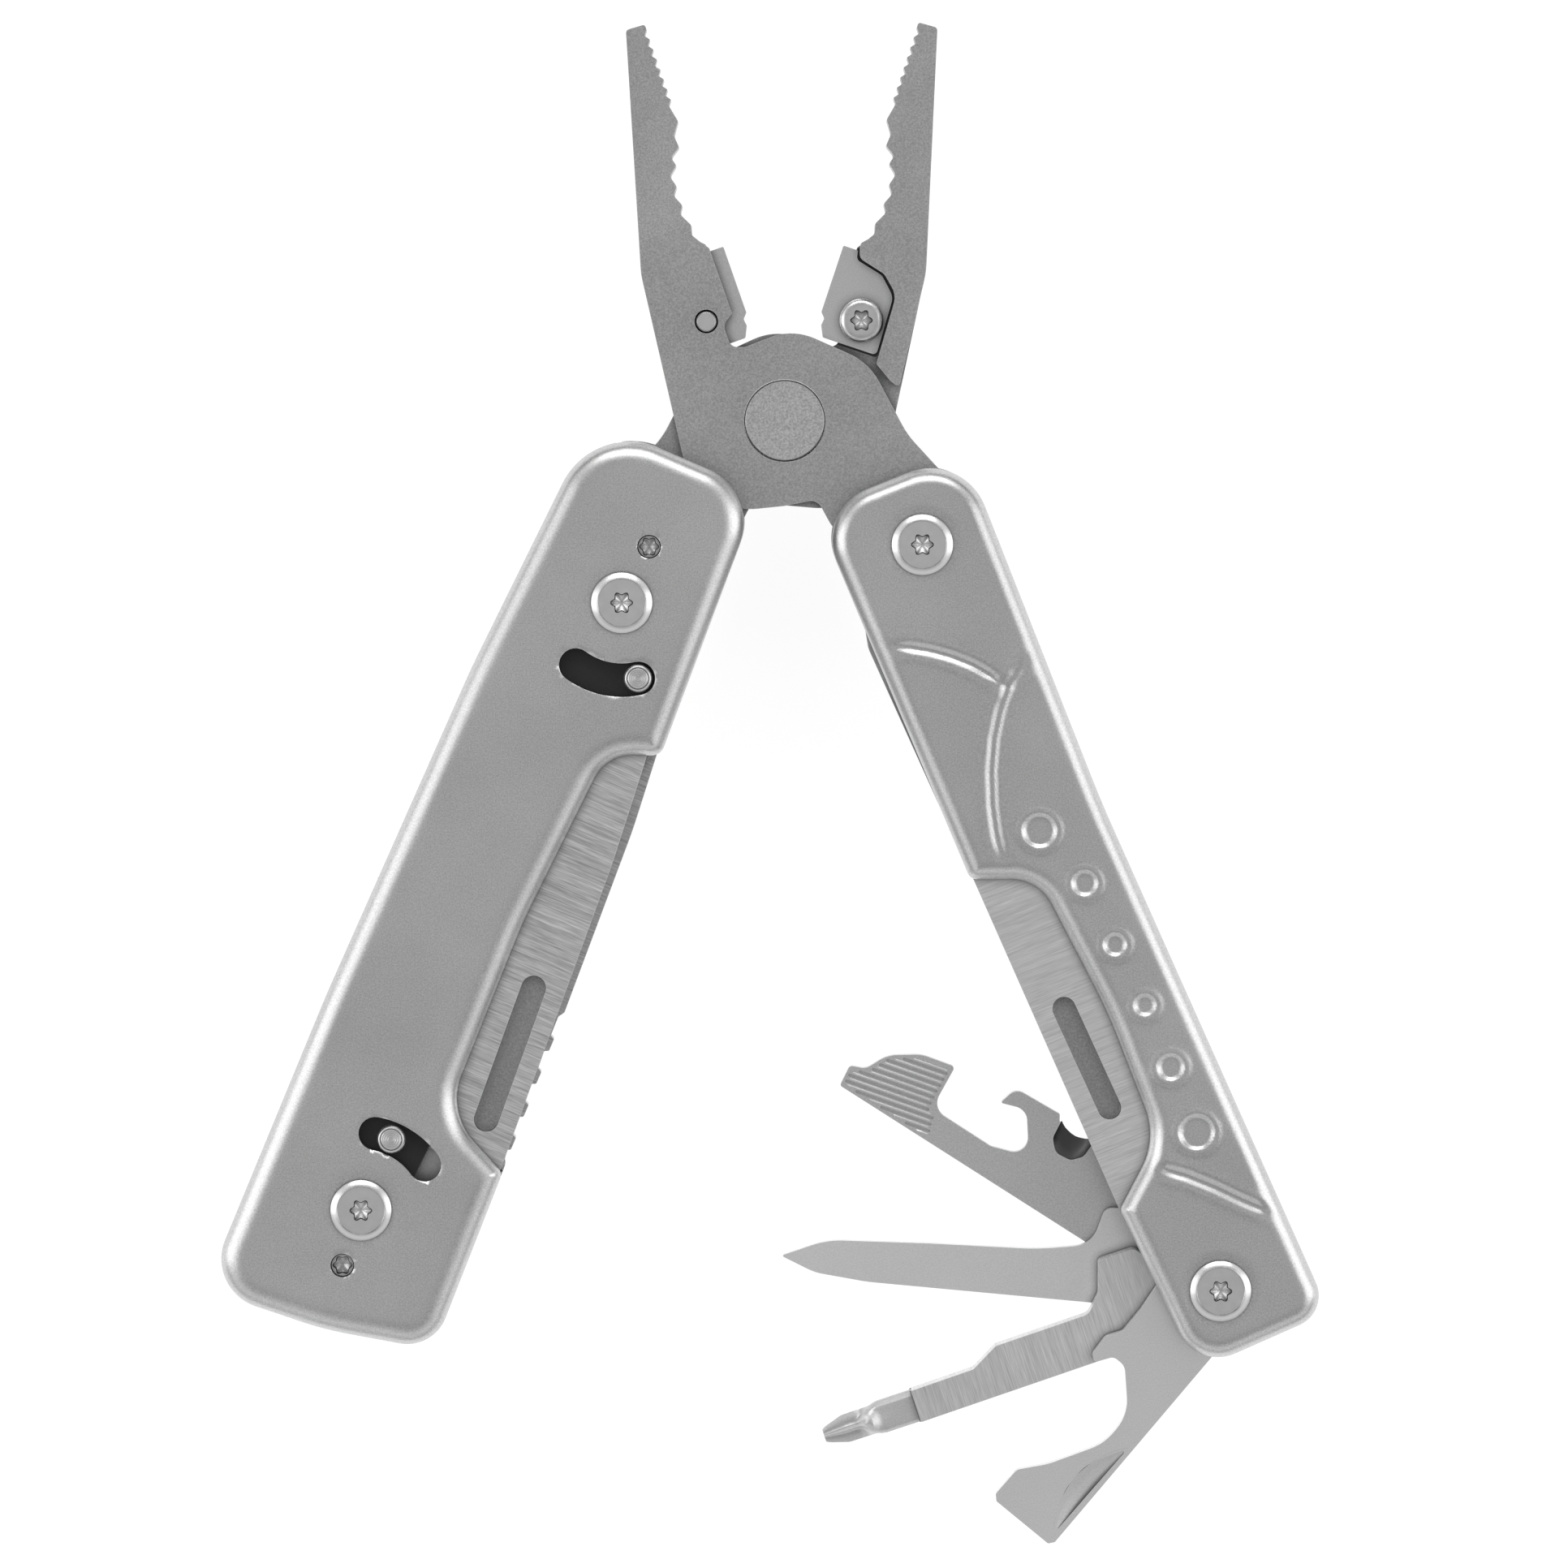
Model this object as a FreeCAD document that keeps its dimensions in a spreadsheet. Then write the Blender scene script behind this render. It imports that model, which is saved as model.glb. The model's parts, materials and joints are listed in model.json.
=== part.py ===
import FreeCAD, Part
import Sketcher
import math
import os

# Folding plier multi tool, lying flat with its pliers open.
# X and Y lie in the plane of the tool and Z is its thickness, front face up.
# Every piece is drawn in its own flat frame, measured from the middle of the
# tool's thickness, and then placed on its pivot.

doc = FreeCAD.newDocument("multi_tool")

sheet = doc.addObject("Spreadsheet::Sheet", "dims")

DIMENSIONS = {
    # frame
    "mid_height": 10.5,
    "shift_east": 1.68,
    "shift_north": 40.775,
    # layers, measured out from the middle of the thickness
    "cover_face": 10.0,
    "cover_sheet": 1.1,
    "cover_depth": 2.1,
    "cover_roll": 1.7,
    "lever_face": 8.75,
    "lever_sheet": 0.8,
    "blade_face": 7.8,
    "blade_sheet": 2.3,
    "liner_face": 5.3,
    "liner_sheet": 1.0,
    "channel_half": 4.3,
    # pliers
    "jaw_half": 4.0,
    "lap_gap": 0.05,
    "rivet_radius": 4.55,
    "tang_hole": 2.36,
    "insert_low": 1.5,
    "insert_sheet": 2.5,
    "insert_seat": 1.05,
    "tip_taper": 1.9,
    "front_open": 19.3,
    "rear_open": 341.6,
    # pivots
    "pivot_radius": 2.3,
    "pivot_hole": 2.36,
    "head_radius": 3.4,
    "head_rise": 0.5,
    "head_bevel": 0.42,
    "small_radius": 1.25,
    "small_hole": 1.32,
    "end_post_radius": 1.3,
    "end_collar_radius": 2.0,
    "drive_depth": 0.6,
    "pin_radius": 1.55,
    "pin_hole": 1.55,
    # handles
    "left_pivot_east": -15.047,
    "left_pivot_north": -13.964,
    "left_turn": 336.85,
    "right_pivot_east": 15.265,
    "right_pivot_north": -13.726,
    "right_turn": 21.82,
    "knife_offset": -0.5,
    "knife_pivot_drop": 80.5,
    "end_post_drop": 87.0,
    "tool_pivot_drop": 89.5,
    # small tools: front face of each one
    "flat_top": 4.12,
    "flat_sheet": 1.6,
    "phillips_top": 2.34,
    "phillips_sheet": 3.3,
    "pointed_top": -1.14,
    "pointed_sheet": 1.4,
    "opener_top": -2.72,
    "opener_sheet": 1.4,
    "washer_radius": 3.6,
    "washer_sheet": 0.16,
    "opener_turn": 34.9,
    "pointed_turn": 62.3,
    "phillips_turn": 86.6,
    "flat_turn": 118.7,
    "dimple_depth": 0.3,
    "groove_depth": 0.25,
}
for row, (alias, value) in enumerate(DIMENSIONS.items(), start=1):
    cell = "B%d" % row
    sheet.set("A%d" % row, alias)
    sheet.set(cell, str(value))
    sheet.setAlias(cell, alias)
doc.recompute()

PIECES = []


def size(name):
    return DIMENSIONS[name]


# ---------------------------------------------------------------- outlines

def unit(dx, dy):
    length = math.hypot(dx, dy)
    return dx / length, dy / length, length


def outline(corners):
    """Closed chain of lines and tangent arcs through (x, y, radius) corners."""
    count = len(corners)
    joints = []
    for i in range(count):
        x, y, radius = corners[i]
        before = corners[i - 1]
        after = corners[(i + 1) % count]
        ax, ay, a_length = unit(before[0] - x, before[1] - y)
        bx, by, b_length = unit(after[0] - x, after[1] - y)
        cosine = max(-1.0, min(1.0, ax * bx + ay * by))
        angle = math.acos(cosine)
        if radius <= 0 or angle > math.radians(179.2):
            joints.append(((x, y), None, (x, y)))
            continue
        reach = radius / math.tan(angle / 2)
        limit = 0.485 * min(a_length, b_length)
        if reach > limit:
            reach = limit
            radius = reach * math.tan(angle / 2)
        mx, my, _ = unit(ax + bx, ay + by)
        centre_distance = radius / math.sin(angle / 2)
        middle = centre_distance - radius
        joints.append(((x + ax * reach, y + ay * reach),
                       (x + mx * middle, y + my * middle),
                       (x + bx * reach, y + by * reach)))
    geometry = []
    for i in range(count):
        start, middle, end = joints[i]
        if middle is not None:
            geometry.append(Part.Arc(flat(start), flat(middle), flat(end)))
        following = joints[(i + 1) % count][0]
        if math.hypot(following[0] - end[0], following[1] - end[1]) > 1e-5:
            geometry.append(Part.LineSegment(flat(end), flat(following)))
    return geometry


def flat(point):
    return FreeCAD.Vector(point[0], point[1], 0)


def turning(corners):
    area = 0.0
    for i in range(len(corners)):
        x1, y1, _ = corners[i - 1]
        x2, y2, _ = corners[i]
        area += x1 * y2 - x2 * y1
    return 1.0 if area > 0 else -1.0


def inset(corners, distance):
    """The same outline moved inwards, with its corner radii adjusted."""
    sense = turning(corners)
    count = len(corners)
    moved = []
    for i in range(count):
        x, y, radius = corners[i]
        px, py, _ = unit(x - corners[i - 1][0], y - corners[i - 1][1])
        after = corners[(i + 1) % count]
        qx, qy, _ = unit(after[0] - x, after[1] - y)
        nx1, ny1 = -py * sense, px * sense
        nx2, ny2 = -qy * sense, qx * sense
        bx, by, _ = unit(nx1 + nx2, ny1 + ny2)
        shift = distance / max(0.3, bx * nx1 + by * ny1)
        convex = (px * qy - py * qx) * sense > 0
        new_radius = radius - distance if convex else radius + distance
        moved.append((x + bx * shift, y + by * shift, max(0.25, new_radius)))
    return moved


def mirrored(corners):
    return [(-x, y, radius) for x, y, radius in corners]


def arc_slot(radius, half_width, start, end, east, north):
    """Outline of a curved slot about (east, north), as sketch geometry."""
    def polar(distance, angle):
        turn = math.radians(angle)
        return FreeCAD.Vector(east + distance * math.cos(turn), north + distance * math.sin(turn), 0)

    def cap(angle, side):
        turn = math.radians(angle)
        along = turn + side * math.pi / 2
        tip = polar(radius, angle)
        return FreeCAD.Vector(tip.x + half_width * math.cos(along),
                              tip.y + half_width * math.sin(along), 0)

    middle = (start + end) / 2
    outer = radius + half_width
    inner = radius - half_width
    return [
        Part.Arc(polar(outer, start), polar(outer, middle), polar(outer, end)),
        Part.Arc(polar(outer, end), cap(end, 1), polar(inner, end)),
        Part.Arc(polar(inner, end), polar(inner, middle), polar(inner, start)),
        Part.Arc(polar(inner, start), cap(start, -1), polar(outer, start)),
    ]


def straight_slot(x1, y1, x2, y2, half_width):
    dx, dy, _ = unit(x2 - x1, y2 - y1)
    nx, ny = -dy * half_width, dx * half_width
    first = [flat((x1 + nx, y1 + ny)), flat((x1 - dx * half_width, y1 - dy * half_width)),
             flat((x1 - nx, y1 - ny))]
    second = [flat((x2 - nx, y2 - ny)), flat((x2 + dx * half_width, y2 + dy * half_width)),
              flat((x2 + nx, y2 + ny))]
    return [Part.Arc(*first), Part.LineSegment(first[2], second[0]),
            Part.Arc(*second), Part.LineSegment(second[2], first[0])]


def drive_star(east, north):
    """Six-lobed driver recess."""
    corners = []
    for i in range(12):
        turn = math.radians(30 * i)
        reach = 1.2 if i % 2 == 0 else 0.82
        corners.append((east + reach * math.cos(turn), north + reach * math.sin(turn), 0.2))
    return outline(corners)


# ---------------------------------------------------------------- bodies

def new_body(label):
    body = doc.addObject("PartDesign::Body", label)
    body.Label = label
    PIECES.append(body)
    return body


def plane_of(body, role):
    for feature in body.Origin.OriginFeatures:
        if feature.Role == role:
            return feature
    raise RuntimeError("no plane " + role)


def sketch_on(body, height, geometry=(), circles=()):
    """Sketch parallel to the flat of the piece, at a height given in words."""
    sketch = body.newObject("Sketcher::SketchObject", body.Label + "_sketch")
    sketch.AttachmentSupport = (plane_of(body, "XY_Plane"), [""])
    sketch.MapMode = "FlatFace"
    sketch.setExpression("AttachmentOffset.Base.z", height)
    if geometry:
        sketch.addGeometry(list(geometry), False)
    for east, north, radius in circles:
        index = sketch.addGeometry(
            Part.Circle(flat((east, north)), FreeCAD.Vector(0, 0, 1), size(radius)), False)
        constraint = sketch.addConstraint(Sketcher.Constraint("Radius", index, size(radius)))
        sketch.setExpression("Constraints[%d]" % constraint, "dims." + radius)
    return sketch


def pad(body, sketch, length, up=True):
    feature = body.newObject("PartDesign::Pad", body.Label + "_pad")
    feature.Profile = sketch
    feature.setExpression("Length", length)
    feature.Reversed = not up
    doc.recompute()
    return feature


def pocket(body, sketch, length, up=True):
    before = body.Shape.Volume
    feature = body.newObject("PartDesign::Pocket", body.Label + "_pocket")
    feature.Profile = sketch
    feature.setExpression("Length", length)
    feature.Reversed = up
    doc.recompute()
    if not body.Shape.Volume < before - 1e-4:
        print("POCKET CUT NOTHING", body.Label, feature.Name)
    return feature


def edges_at(shape, height):
    """Names of the outer edges of the widest flat face at one height."""
    best = None
    for face in shape.Faces:
        box = face.BoundBox
        if abs(box.ZMin - height) < 1e-5 and abs(box.ZMax - height) < 1e-5:
            if best is None or face.Area > best.Area:
                best = face
    names = []
    for edge in best.OuterWire.Edges:
        for number, candidate in enumerate(shape.Edges, start=1):
            if candidate.isSame(edge):
                names.append("Edge%d" % number)
                break
    return names


def round_edges(body, feature, names, radius):
    fillet = body.newObject("PartDesign::Fillet", body.Label + "_roll")
    fillet.Base = (feature, names)
    fillet.setExpression("Radius", radius)
    doc.recompute()
    return fillet


def bevel_edges(body, feature, names, width):
    chamfer = body.newObject("PartDesign::Chamfer", body.Label + "_bevel")
    chamfer.Base = (feature, names)
    chamfer.setExpression("Size", width)
    doc.recompute()
    return chamfer


def place(body, east, north, turn):
    """Set a piece down: offsets and turn are expressions in the sheet's words."""
    body.Placement = FreeCAD.Placement(FreeCAD.Vector(0, 0, 0),
                                       FreeCAD.Rotation(FreeCAD.Vector(0, 0, 1), 1.0))
    body.setExpression("Placement.Base.x", "%s + dims.shift_east" % east)
    body.setExpression("Placement.Base.y", "%s + dims.shift_north" % north)
    body.setExpression("Placement.Base.z", "dims.mid_height")
    body.setExpression("Placement.Rotation.Angle", turn)


def on_left_handle(body):
    place(body, "dims.left_pivot_east", "dims.left_pivot_north", "dims.left_turn")


def on_right_handle(body):
    place(body, "dims.right_pivot_east", "dims.right_pivot_north", "dims.right_turn")


def on_tool_post(body, turn):
    """Pieces that turn on the post at the foot of the right handle."""
    east = "dims.right_pivot_east + sin(dims.right_turn * 1deg) * dims.tool_pivot_drop"
    north = "dims.right_pivot_north - cos(dims.right_turn * 1deg) * dims.tool_pivot_drop"
    place(body, east, north, "dims.right_turn + %s" % turn)


# ---------------------------------------------------------------- pliers

FINE_TEETH = 8
FINE_TOP = 46.2
FINE_PITCH = 1.18

COARSE_TEETH = [
    (-1.16, 34.0, 0.5), (-1.05, 32.6, 0.4), (-2.3, 31.8, 0.5), (-2.0, 30.8, 0.4),
    (-3.1, 29.9, 0.5), (-2.75, 28.6, 0.4), (-3.4, 27.7, 0.5), (-2.85, 26.4, 0.4),
    (-3.4, 25.5, 0.5), (-2.65, 24.0, 0.4), (-2.95, 22.9, 0.5), (-2.45, 22.1, 0.3),
]


def gripping_edge():
    """Fine teeth from the tip down, then the hollow with its coarse teeth."""
    corners = []
    for i in range(FINE_TEETH):
        top = FINE_TOP - i * FINE_PITCH
        corners.append((-0.15, top, 0.12))
        corners.append((-0.6, top - FINE_PITCH / 2, 0.12))
    corners.append((-0.2, 35.4, 0.4))
    return corners + COARSE_TEETH


def outer_edge():
    return [(-9.75, 20.6, 9), (-2.35, 46.9, 0.45)]


def jaw_plate_outline():
    """Half-thickness plate: jaw, joint disc and tang, jaws shut, tip up."""
    corners = [(-0.15, 46.8, 0.35)]
    corners += gripping_edge()
    corners += [
        (-1.6, 20.9, 0.3), (-1.6, 13.2, 0.2), (-2.95, 12.3, 1.1), (-2.95, 9.7, 1.1),
        (-1.5, 9.2, 0.4), (4.2, 9.4, 7), (11.0, 3.0, 7), (12.4, -6.0, 10),
        (15.2, -12.5, 5), (15.2, -23.3, 5.2), (4.6, -23.3, 5.2), (3.9, -16.8, 4),
        (1.1, -13.2, 4), (0.5, -9.5, 1.3), (-3.1, -9.0, 8), (-9.0, -7.6, 7),
        (-12.2, -1.5, 6),
    ]
    return corners + outer_edge()


def jaw_block_outline():
    """Full-thickness part of the jaw, clear of the other half's joint."""
    corners = [(-0.15, 46.8, 0.35)]
    corners += gripping_edge()
    corners += [
        (-1.8, 21.4, 0.4), (-2.2, 19.8, 0.9), (-5.4, 19.0, 1.4), (-7.4, 17.2, 2.2),
        (-7.7, 9.2, 0.3), (-9.8, 7.9, 0.6), (-10.95, 7.5, 0.9),
    ]
    return corners + outer_edge()


def seat_outline():
    return [(0.6, 20.9, 0), (0.6, 9.9, 0), (-7.6, 9.9, 0.4), (-7.35, 17.15, 1.8),
            (-5.3, 19.0, 1.4), (-2.3, 20.2, 0.5), (-2.1, 20.9, 0)]


def insert_outline():
    return [(-0.06, 20.6, 0.15), (-0.06, 12.8, 0.3), (-0.6, 12.2, 0.3), (-0.5, 11.4, 0.3),
            (-1.1, 10.15, 0.3), (-7.4, 10.15, 0.5), (-7.15, 16.9, 1.7), (-5.2, 18.8, 1.3),
            (-2.0, 19.55, 0.6), (-1.75, 20.6, 0.2)]


def taper_jaw(body):
    """Thin the nose of the jaw towards its tip, both faces alike."""
    for side in (1, -1):
        sketch = body.newObject("Sketcher::SketchObject", body.Label + "_taper_sketch")
        sketch.AttachmentSupport = (plane_of(body, "YZ_Plane"), [""])
        sketch.MapMode = "FlatFace"
        depth = size("jaw_half")
        points = [(24.0, side * depth), (48.5, side * (depth - size("tip_taper"))),
                  (48.5, side * (depth + 1)), (24.0, side * (depth + 1))]
        lines = []
        for i in range(4):
            first = points[i]
            second = points[(i + 1) % 4]
            lines.append(Part.LineSegment(FreeCAD.Vector(first[0], first[1], 0),
                                          FreeCAD.Vector(second[0], second[1], 0)))
        sketch.addGeometry(lines, False)
        before = body.Shape.Volume
        cut = body.newObject("PartDesign::Pocket", body.Label + "_taper")
        cut.Profile = sketch
        cut.Type = "ThroughAll"
        cut.Midplane = True
        doc.recompute()
        if not body.Shape.Volume < before - 1e-3:
            print("TAPER CUT NOTHING", body.Label)


def build_jaw_half(label, front):
    """Front half: left jaw and right tang. The rear half mirrors it both ways."""
    body = new_body(label)
    shape = (lambda corners: corners) if front else mirrored
    side = 1 if front else -1
    lap = "dims.lap_gap" if front else "-dims.lap_gap"
    plate = sketch_on(body, lap, outline(shape(jaw_plate_outline())))
    pad(body, plate, "dims.jaw_half - dims.lap_gap", up=front)
    block = sketch_on(body, lap, outline(shape(jaw_block_outline())))
    pad(body, block, "dims.jaw_half + dims.lap_gap", up=not front)
    taper_jaw(body)
    seat = sketch_on(body, "0", outline(shape(seat_outline())))
    pocket(body, seat, "dims.insert_seat", up=front)
    outer = "dims.jaw_half" if front else "-dims.jaw_half"
    holes = sketch_on(body, outer, circles=[(0, 0, "rivet_hole"), (side * 9.87, -18.0, "tang_hole"),
                                            (side * -4.6, 13.3, "insert_hole")])
    pocket(body, holes, "2 * dims.jaw_half", up=not front)
    place(body, "0", "0", "dims.front_open" if front else "dims.rear_open")
    return body


def build_insert(label, front):
    body = new_body(label)
    shape = (lambda corners: corners) if front else mirrored
    side = 1 if front else -1
    low = "-dims.insert_low" if front else "dims.insert_low"
    blank = sketch_on(body, low, outline(shape(insert_outline())))
    pad(body, blank, "dims.insert_sheet", up=front)
    hole = sketch_on(body, low, circles=[(side * -4.6, 13.3, "insert_hole")])
    pocket(body, hole, "dims.insert_sheet", up=front)
    place(body, "0", "0", "dims.front_open" if front else "dims.rear_open")
    return body


def build_insert_screw(label, front):
    body = new_body(label)
    side = 1 if front else -1
    low = "-dims.insert_low" if front else "dims.insert_low"
    centre = (side * -4.6, 13.3)
    head = sketch_on(body, low, circles=[centre + ("insert_head",)])
    head_pad = pad(body, head, "dims.insert_head_rise", up=not front)
    top = -size("insert_low") - size("insert_head_rise") if front else size("insert_low") + size("insert_head_rise")
    round_edges(body, head_pad, edges_at(body.Shape, top), "dims.insert_head_round")
    shank = sketch_on(body, low, circles=[centre + ("insert_shank",)])
    pad(body, shank, "dims.insert_low + dims.jaw_half - 0.15", up=front)
    edge = "-dims.insert_low - dims.insert_head_rise" if front else "dims.insert_low + dims.insert_head_rise"
    drive = sketch_on(body, edge, drive_star(*centre))
    pocket(body, drive, "dims.drive_depth", up=front)
    place(body, "0", "0", "dims.front_open" if front else "dims.rear_open")
    return body


def build_jaw_rivet():
    body = new_body("jaw_rivet")
    disc = sketch_on(body, "-dims.jaw_half", circles=[(0, 0, "rivet_radius")])
    pad(body, disc, "2 * dims.jaw_half")
    place(body, "0", "0", "0")
    return body


# ---------------------------------------------------------------- handle sheets

LEFT_COVER = [
    (-11.2, 10.5, 8.3), (8.9, 10.5, 6.6), (10.3, -20.9, 1.5), (4.7, -23.2, 6.5),
    (3.5, -44.0, 60), (4.0, -66.8, 8), (12.35, -70.6, 1.4), (13.0, -91.9, 4.6),
    (1.0, -94.6, 40), (-13.1, -95.7, 5.6), (-13.5, -60.0, 150), (-12.9, -20.0, 90),
]
RIGHT_COVER = [
    (-9.7, 8.0, 6.2), (8.1, 8.0, 6.6), (7.9, -34.0, 150), (10.4, -96.4, 3.6),
    (-5.7, -97.0, 4.8), (-7.05, -77.0, 1.1), (-0.3, -71.2, 8), (-0.15, -56.0, 60),
    (-1.8, -39.4, 5), (-8.85, -36.7, 1.3),
]
LEFT_LINER = [
    (-10.3, 9.6, 7.6), (8.1, 9.6, 5.9), (9.3, -21.5, 1.5), (8.0, -26.0, 3),
    (8.6, -66.0, 3), (11.5, -71.5, 1.5), (12.1, -91.0, 3.9), (1.0, -93.7, 40),
    (-12.2, -94.7, 4.8), (-12.6, -60.0, 150), (-12.0, -20.0, 90),
]
RIGHT_LINER = [
    (-8.7, 7.1, 5.4), (7.3, 7.1, 5.8), (7.1, -34.0, 150), (9.6, -95.5, 2.9),
    (-4.9, -96.1, 4.0), (-6.2, -77.5, 1.5), (-5.0, -70.0, 4), (-5.6, -40.0, 3),
    (-8.65, -36.6, 1.2), (-9.85, -8.8, 0.5), (-9.0, -5.0, 3),
]


def build_cover(label, corners, front, holes, slots, extras=()):
    """Pressed sheet with a rolled edge, hollow on its inner side."""
    body = new_body(label)
    face = "dims.cover_face" if front else "-dims.cover_face"
    height = size("cover_face") if front else -size("cover_face")
    blank = sketch_on(body, face, outline(corners))
    blank_pad = pad(body, blank, "dims.cover_depth", up=not front)
    round_edges(body, blank_pad, edges_at(body.Shape, height), "dims.cover_roll")
    inner = "dims.cover_face - dims.cover_depth" if front else "dims.cover_depth - dims.cover_face"
    hollow = sketch_on(body, inner, outline(inset(corners, size("cover_sheet"))))
    pocket(body, hollow, "dims.cover_depth - dims.cover_sheet", up=front)
    through = sketch_on(body, face, circles=holes)
    pocket(body, through, "dims.cover_depth", up=not front)
    for slot in slots:
        opening = sketch_on(body, face, slot)
        pocket(body, opening, "dims.cover_depth", up=not front)
    for shape, depth in extras:
        press = sketch_on(body, face, shape)
        pocket(body, press, depth, up=not front)
    return body


def upper_slot():
    return arc_slot(8.6, 1.86, -103.4, -54.4, -0.35, -6.9)


def lower_slot():
    return arc_slot(8.7, 1.86, 58.6, 102.6, size("knife_offset"), -size("knife_pivot_drop"))


def build_left_covers():
    foot = -size("end_post_drop")
    knife = (size("knife_offset"), -size("knife_pivot_drop"), "pivot_hole")
    front = build_cover(
        "left_front_cover", LEFT_COVER, True,
        [(0, 0, "small_hole"), (0, foot, "small_hole"), (-0.35, -6.9, "pivot_hole"), knife],
        [upper_slot(), lower_slot()])
    on_left_handle(front)
    rear = build_cover(
        "left_rear_cover", LEFT_COVER, False,
        [(0, 0, "small_hole"), (0, foot, "small_hole"), knife], [lower_slot()])
    on_left_handle(rear)


DIMPLES = [
    (0.3, -34.3, "dimple_large"), (2.8, -41.6, "dimple_mid"), (3.4, -49.2, "dimple_small"),
    (4.0, -56.7, "dimple_small"), (4.1, -64.2, "dimple_mid"), (4.1, -72.0, "dimple_large"),
]
LONG_GROOVE = [
    (6.3, -15.6, 0.1), (3.4, -18.2, 2), (0.2, -22.0, 8), (-2.3, -27.0, 12), (-3.9, -32.0, 12),
    (-4.75, -37.0, 0.1), (-4.35, -31.8, 12), (-2.8, -26.8, 12), (-0.4, -21.6, 8), (2.9, -17.6, 2),
]
UPPER_GROOVE = [
    (-7.9, -8.9, 0.1), (-3.6, -10.9, 8), (0.4, -14.3, 8), (2.5, -17.9, 0.1),
    (-0.1, -14.8, 8), (-3.9, -11.5, 8),
]
LOWER_GROOVE = [
    (-1.3, -74.2, 0.3), (3.7, -78.2, 20), (8.2, -83.4, 0.3), (3.2, -78.9, 20),
]


def build_right_covers():
    foot = -size("tool_pivot_drop")
    holes = [(0, 0, "pivot_hole"), (0, foot, "pivot_hole")]
    for label, front in (("right_front_cover", True), ("right_rear_cover", False)):
        extras = []
        for groove in (LONG_GROOVE, UPPER_GROOVE, LOWER_GROOVE):
            extras.append((outline(groove), "dims.groove_depth"))
        body = build_cover(label, RIGHT_COVER, front, holes, [], extras)
        face = "dims.cover_face" if front else "-dims.cover_face"
        dimples = sketch_on(body, face, circles=DIMPLES)
        pocket(body, dimples, "dims.dimple_depth", up=not front)
        on_right_handle(body)


def build_liner(label, corners, front, holes, put):
    body = new_body(label)
    face = "dims.liner_face" if front else "-dims.liner_face"
    blank = sketch_on(body, face, outline(corners))
    pad(body, blank, "dims.liner_sheet", up=not front)
    through = sketch_on(body, face, circles=holes)
    pocket(body, through, "dims.liner_sheet", up=not front)
    put(body)
    return body


def build_liners():
    knife = (size("knife_offset"), -size("knife_pivot_drop"), "pivot_hole")
    left_ends = [(0, 0, "pivot_hole"), (0, -size("end_post_drop"), "small_hole"), knife]
    build_liner("left_front_liner", LEFT_LINER, True,
                left_ends + [(-0.35, -6.9, "stub_hole")], on_left_handle)
    build_liner("left_rear_liner", LEFT_LINER, False, left_ends, on_left_handle)
    right_ends = [(0, 0, "pivot_hole"), (0, -size("tool_pivot_drop"), "pivot_hole")]
    build_liner("right_front_liner", RIGHT_LINER, True, right_ends, on_right_handle)
    build_liner("right_rear_liner", RIGHT_LINER, False, right_ends, on_right_handle)


# ---------------------------------------------------------------- posts and screws

def build_post(label, radius, length_half, bore, north, put, east=0.0):
    """Round post across the handle with a screw hole in each end."""
    body = new_body(label)
    rod = sketch_on(body, "-" + length_half, circles=[(east, north, radius)])
    pad(body, rod, "2 * (" + length_half + ")")
    for up in (True, False):
        end = "-" + length_half if up else length_half
        hole = sketch_on(body, end, circles=[(east, north, bore)])
        pocket(body, hole, "dims.bore_depth", up=up)
    put(body)
    return body


def add_screw_end(body, east, north, front, head, shank, base, rise, bevel, length):
    """One screw, pointing in from the front or the rear face."""
    sign = "" if front else "-"
    height = size(base) if front else -size(base)
    head_sketch = sketch_on(body, "%s(dims.%s)" % (sign, base), circles=[(east, north, head)])
    head_pad = pad(body, head_sketch, "dims." + rise, up=front)
    top = height + size(rise) * (1 if front else -1)
    if bevel:
        bevel_edges(body, head_pad, edges_at(body.Shape, top), bevel)
    shank_sketch = sketch_on(body, "%s(dims.%s)" % (sign, base), circles=[(east, north, shank)])
    pad(body, shank_sketch, length, up=not front)
    edge = "%s(dims.%s + dims.%s)" % (sign, base, rise)
    drive = sketch_on(body, edge, drive_star(east, north))
    pocket(body, drive, "dims.drive_depth", up=not front)


def screw_pair(label, parts, put):
    """Identical screws kept as separate solids under one name."""
    bodies = []
    for number, settings in enumerate(parts):
        body = doc.addObject("PartDesign::Body", "%s_%d" % (label, number + 1))
        body.Label = "%s_%d" % (label, number + 1)
        add_screw_end(body, **settings)
        bodies.append(body)
    group = doc.addObject("Part::Compound", label)
    group.Label = label
    group.Links = bodies
    doc.recompute()
    put(group)
    PIECES.append(group)
    return group


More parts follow.
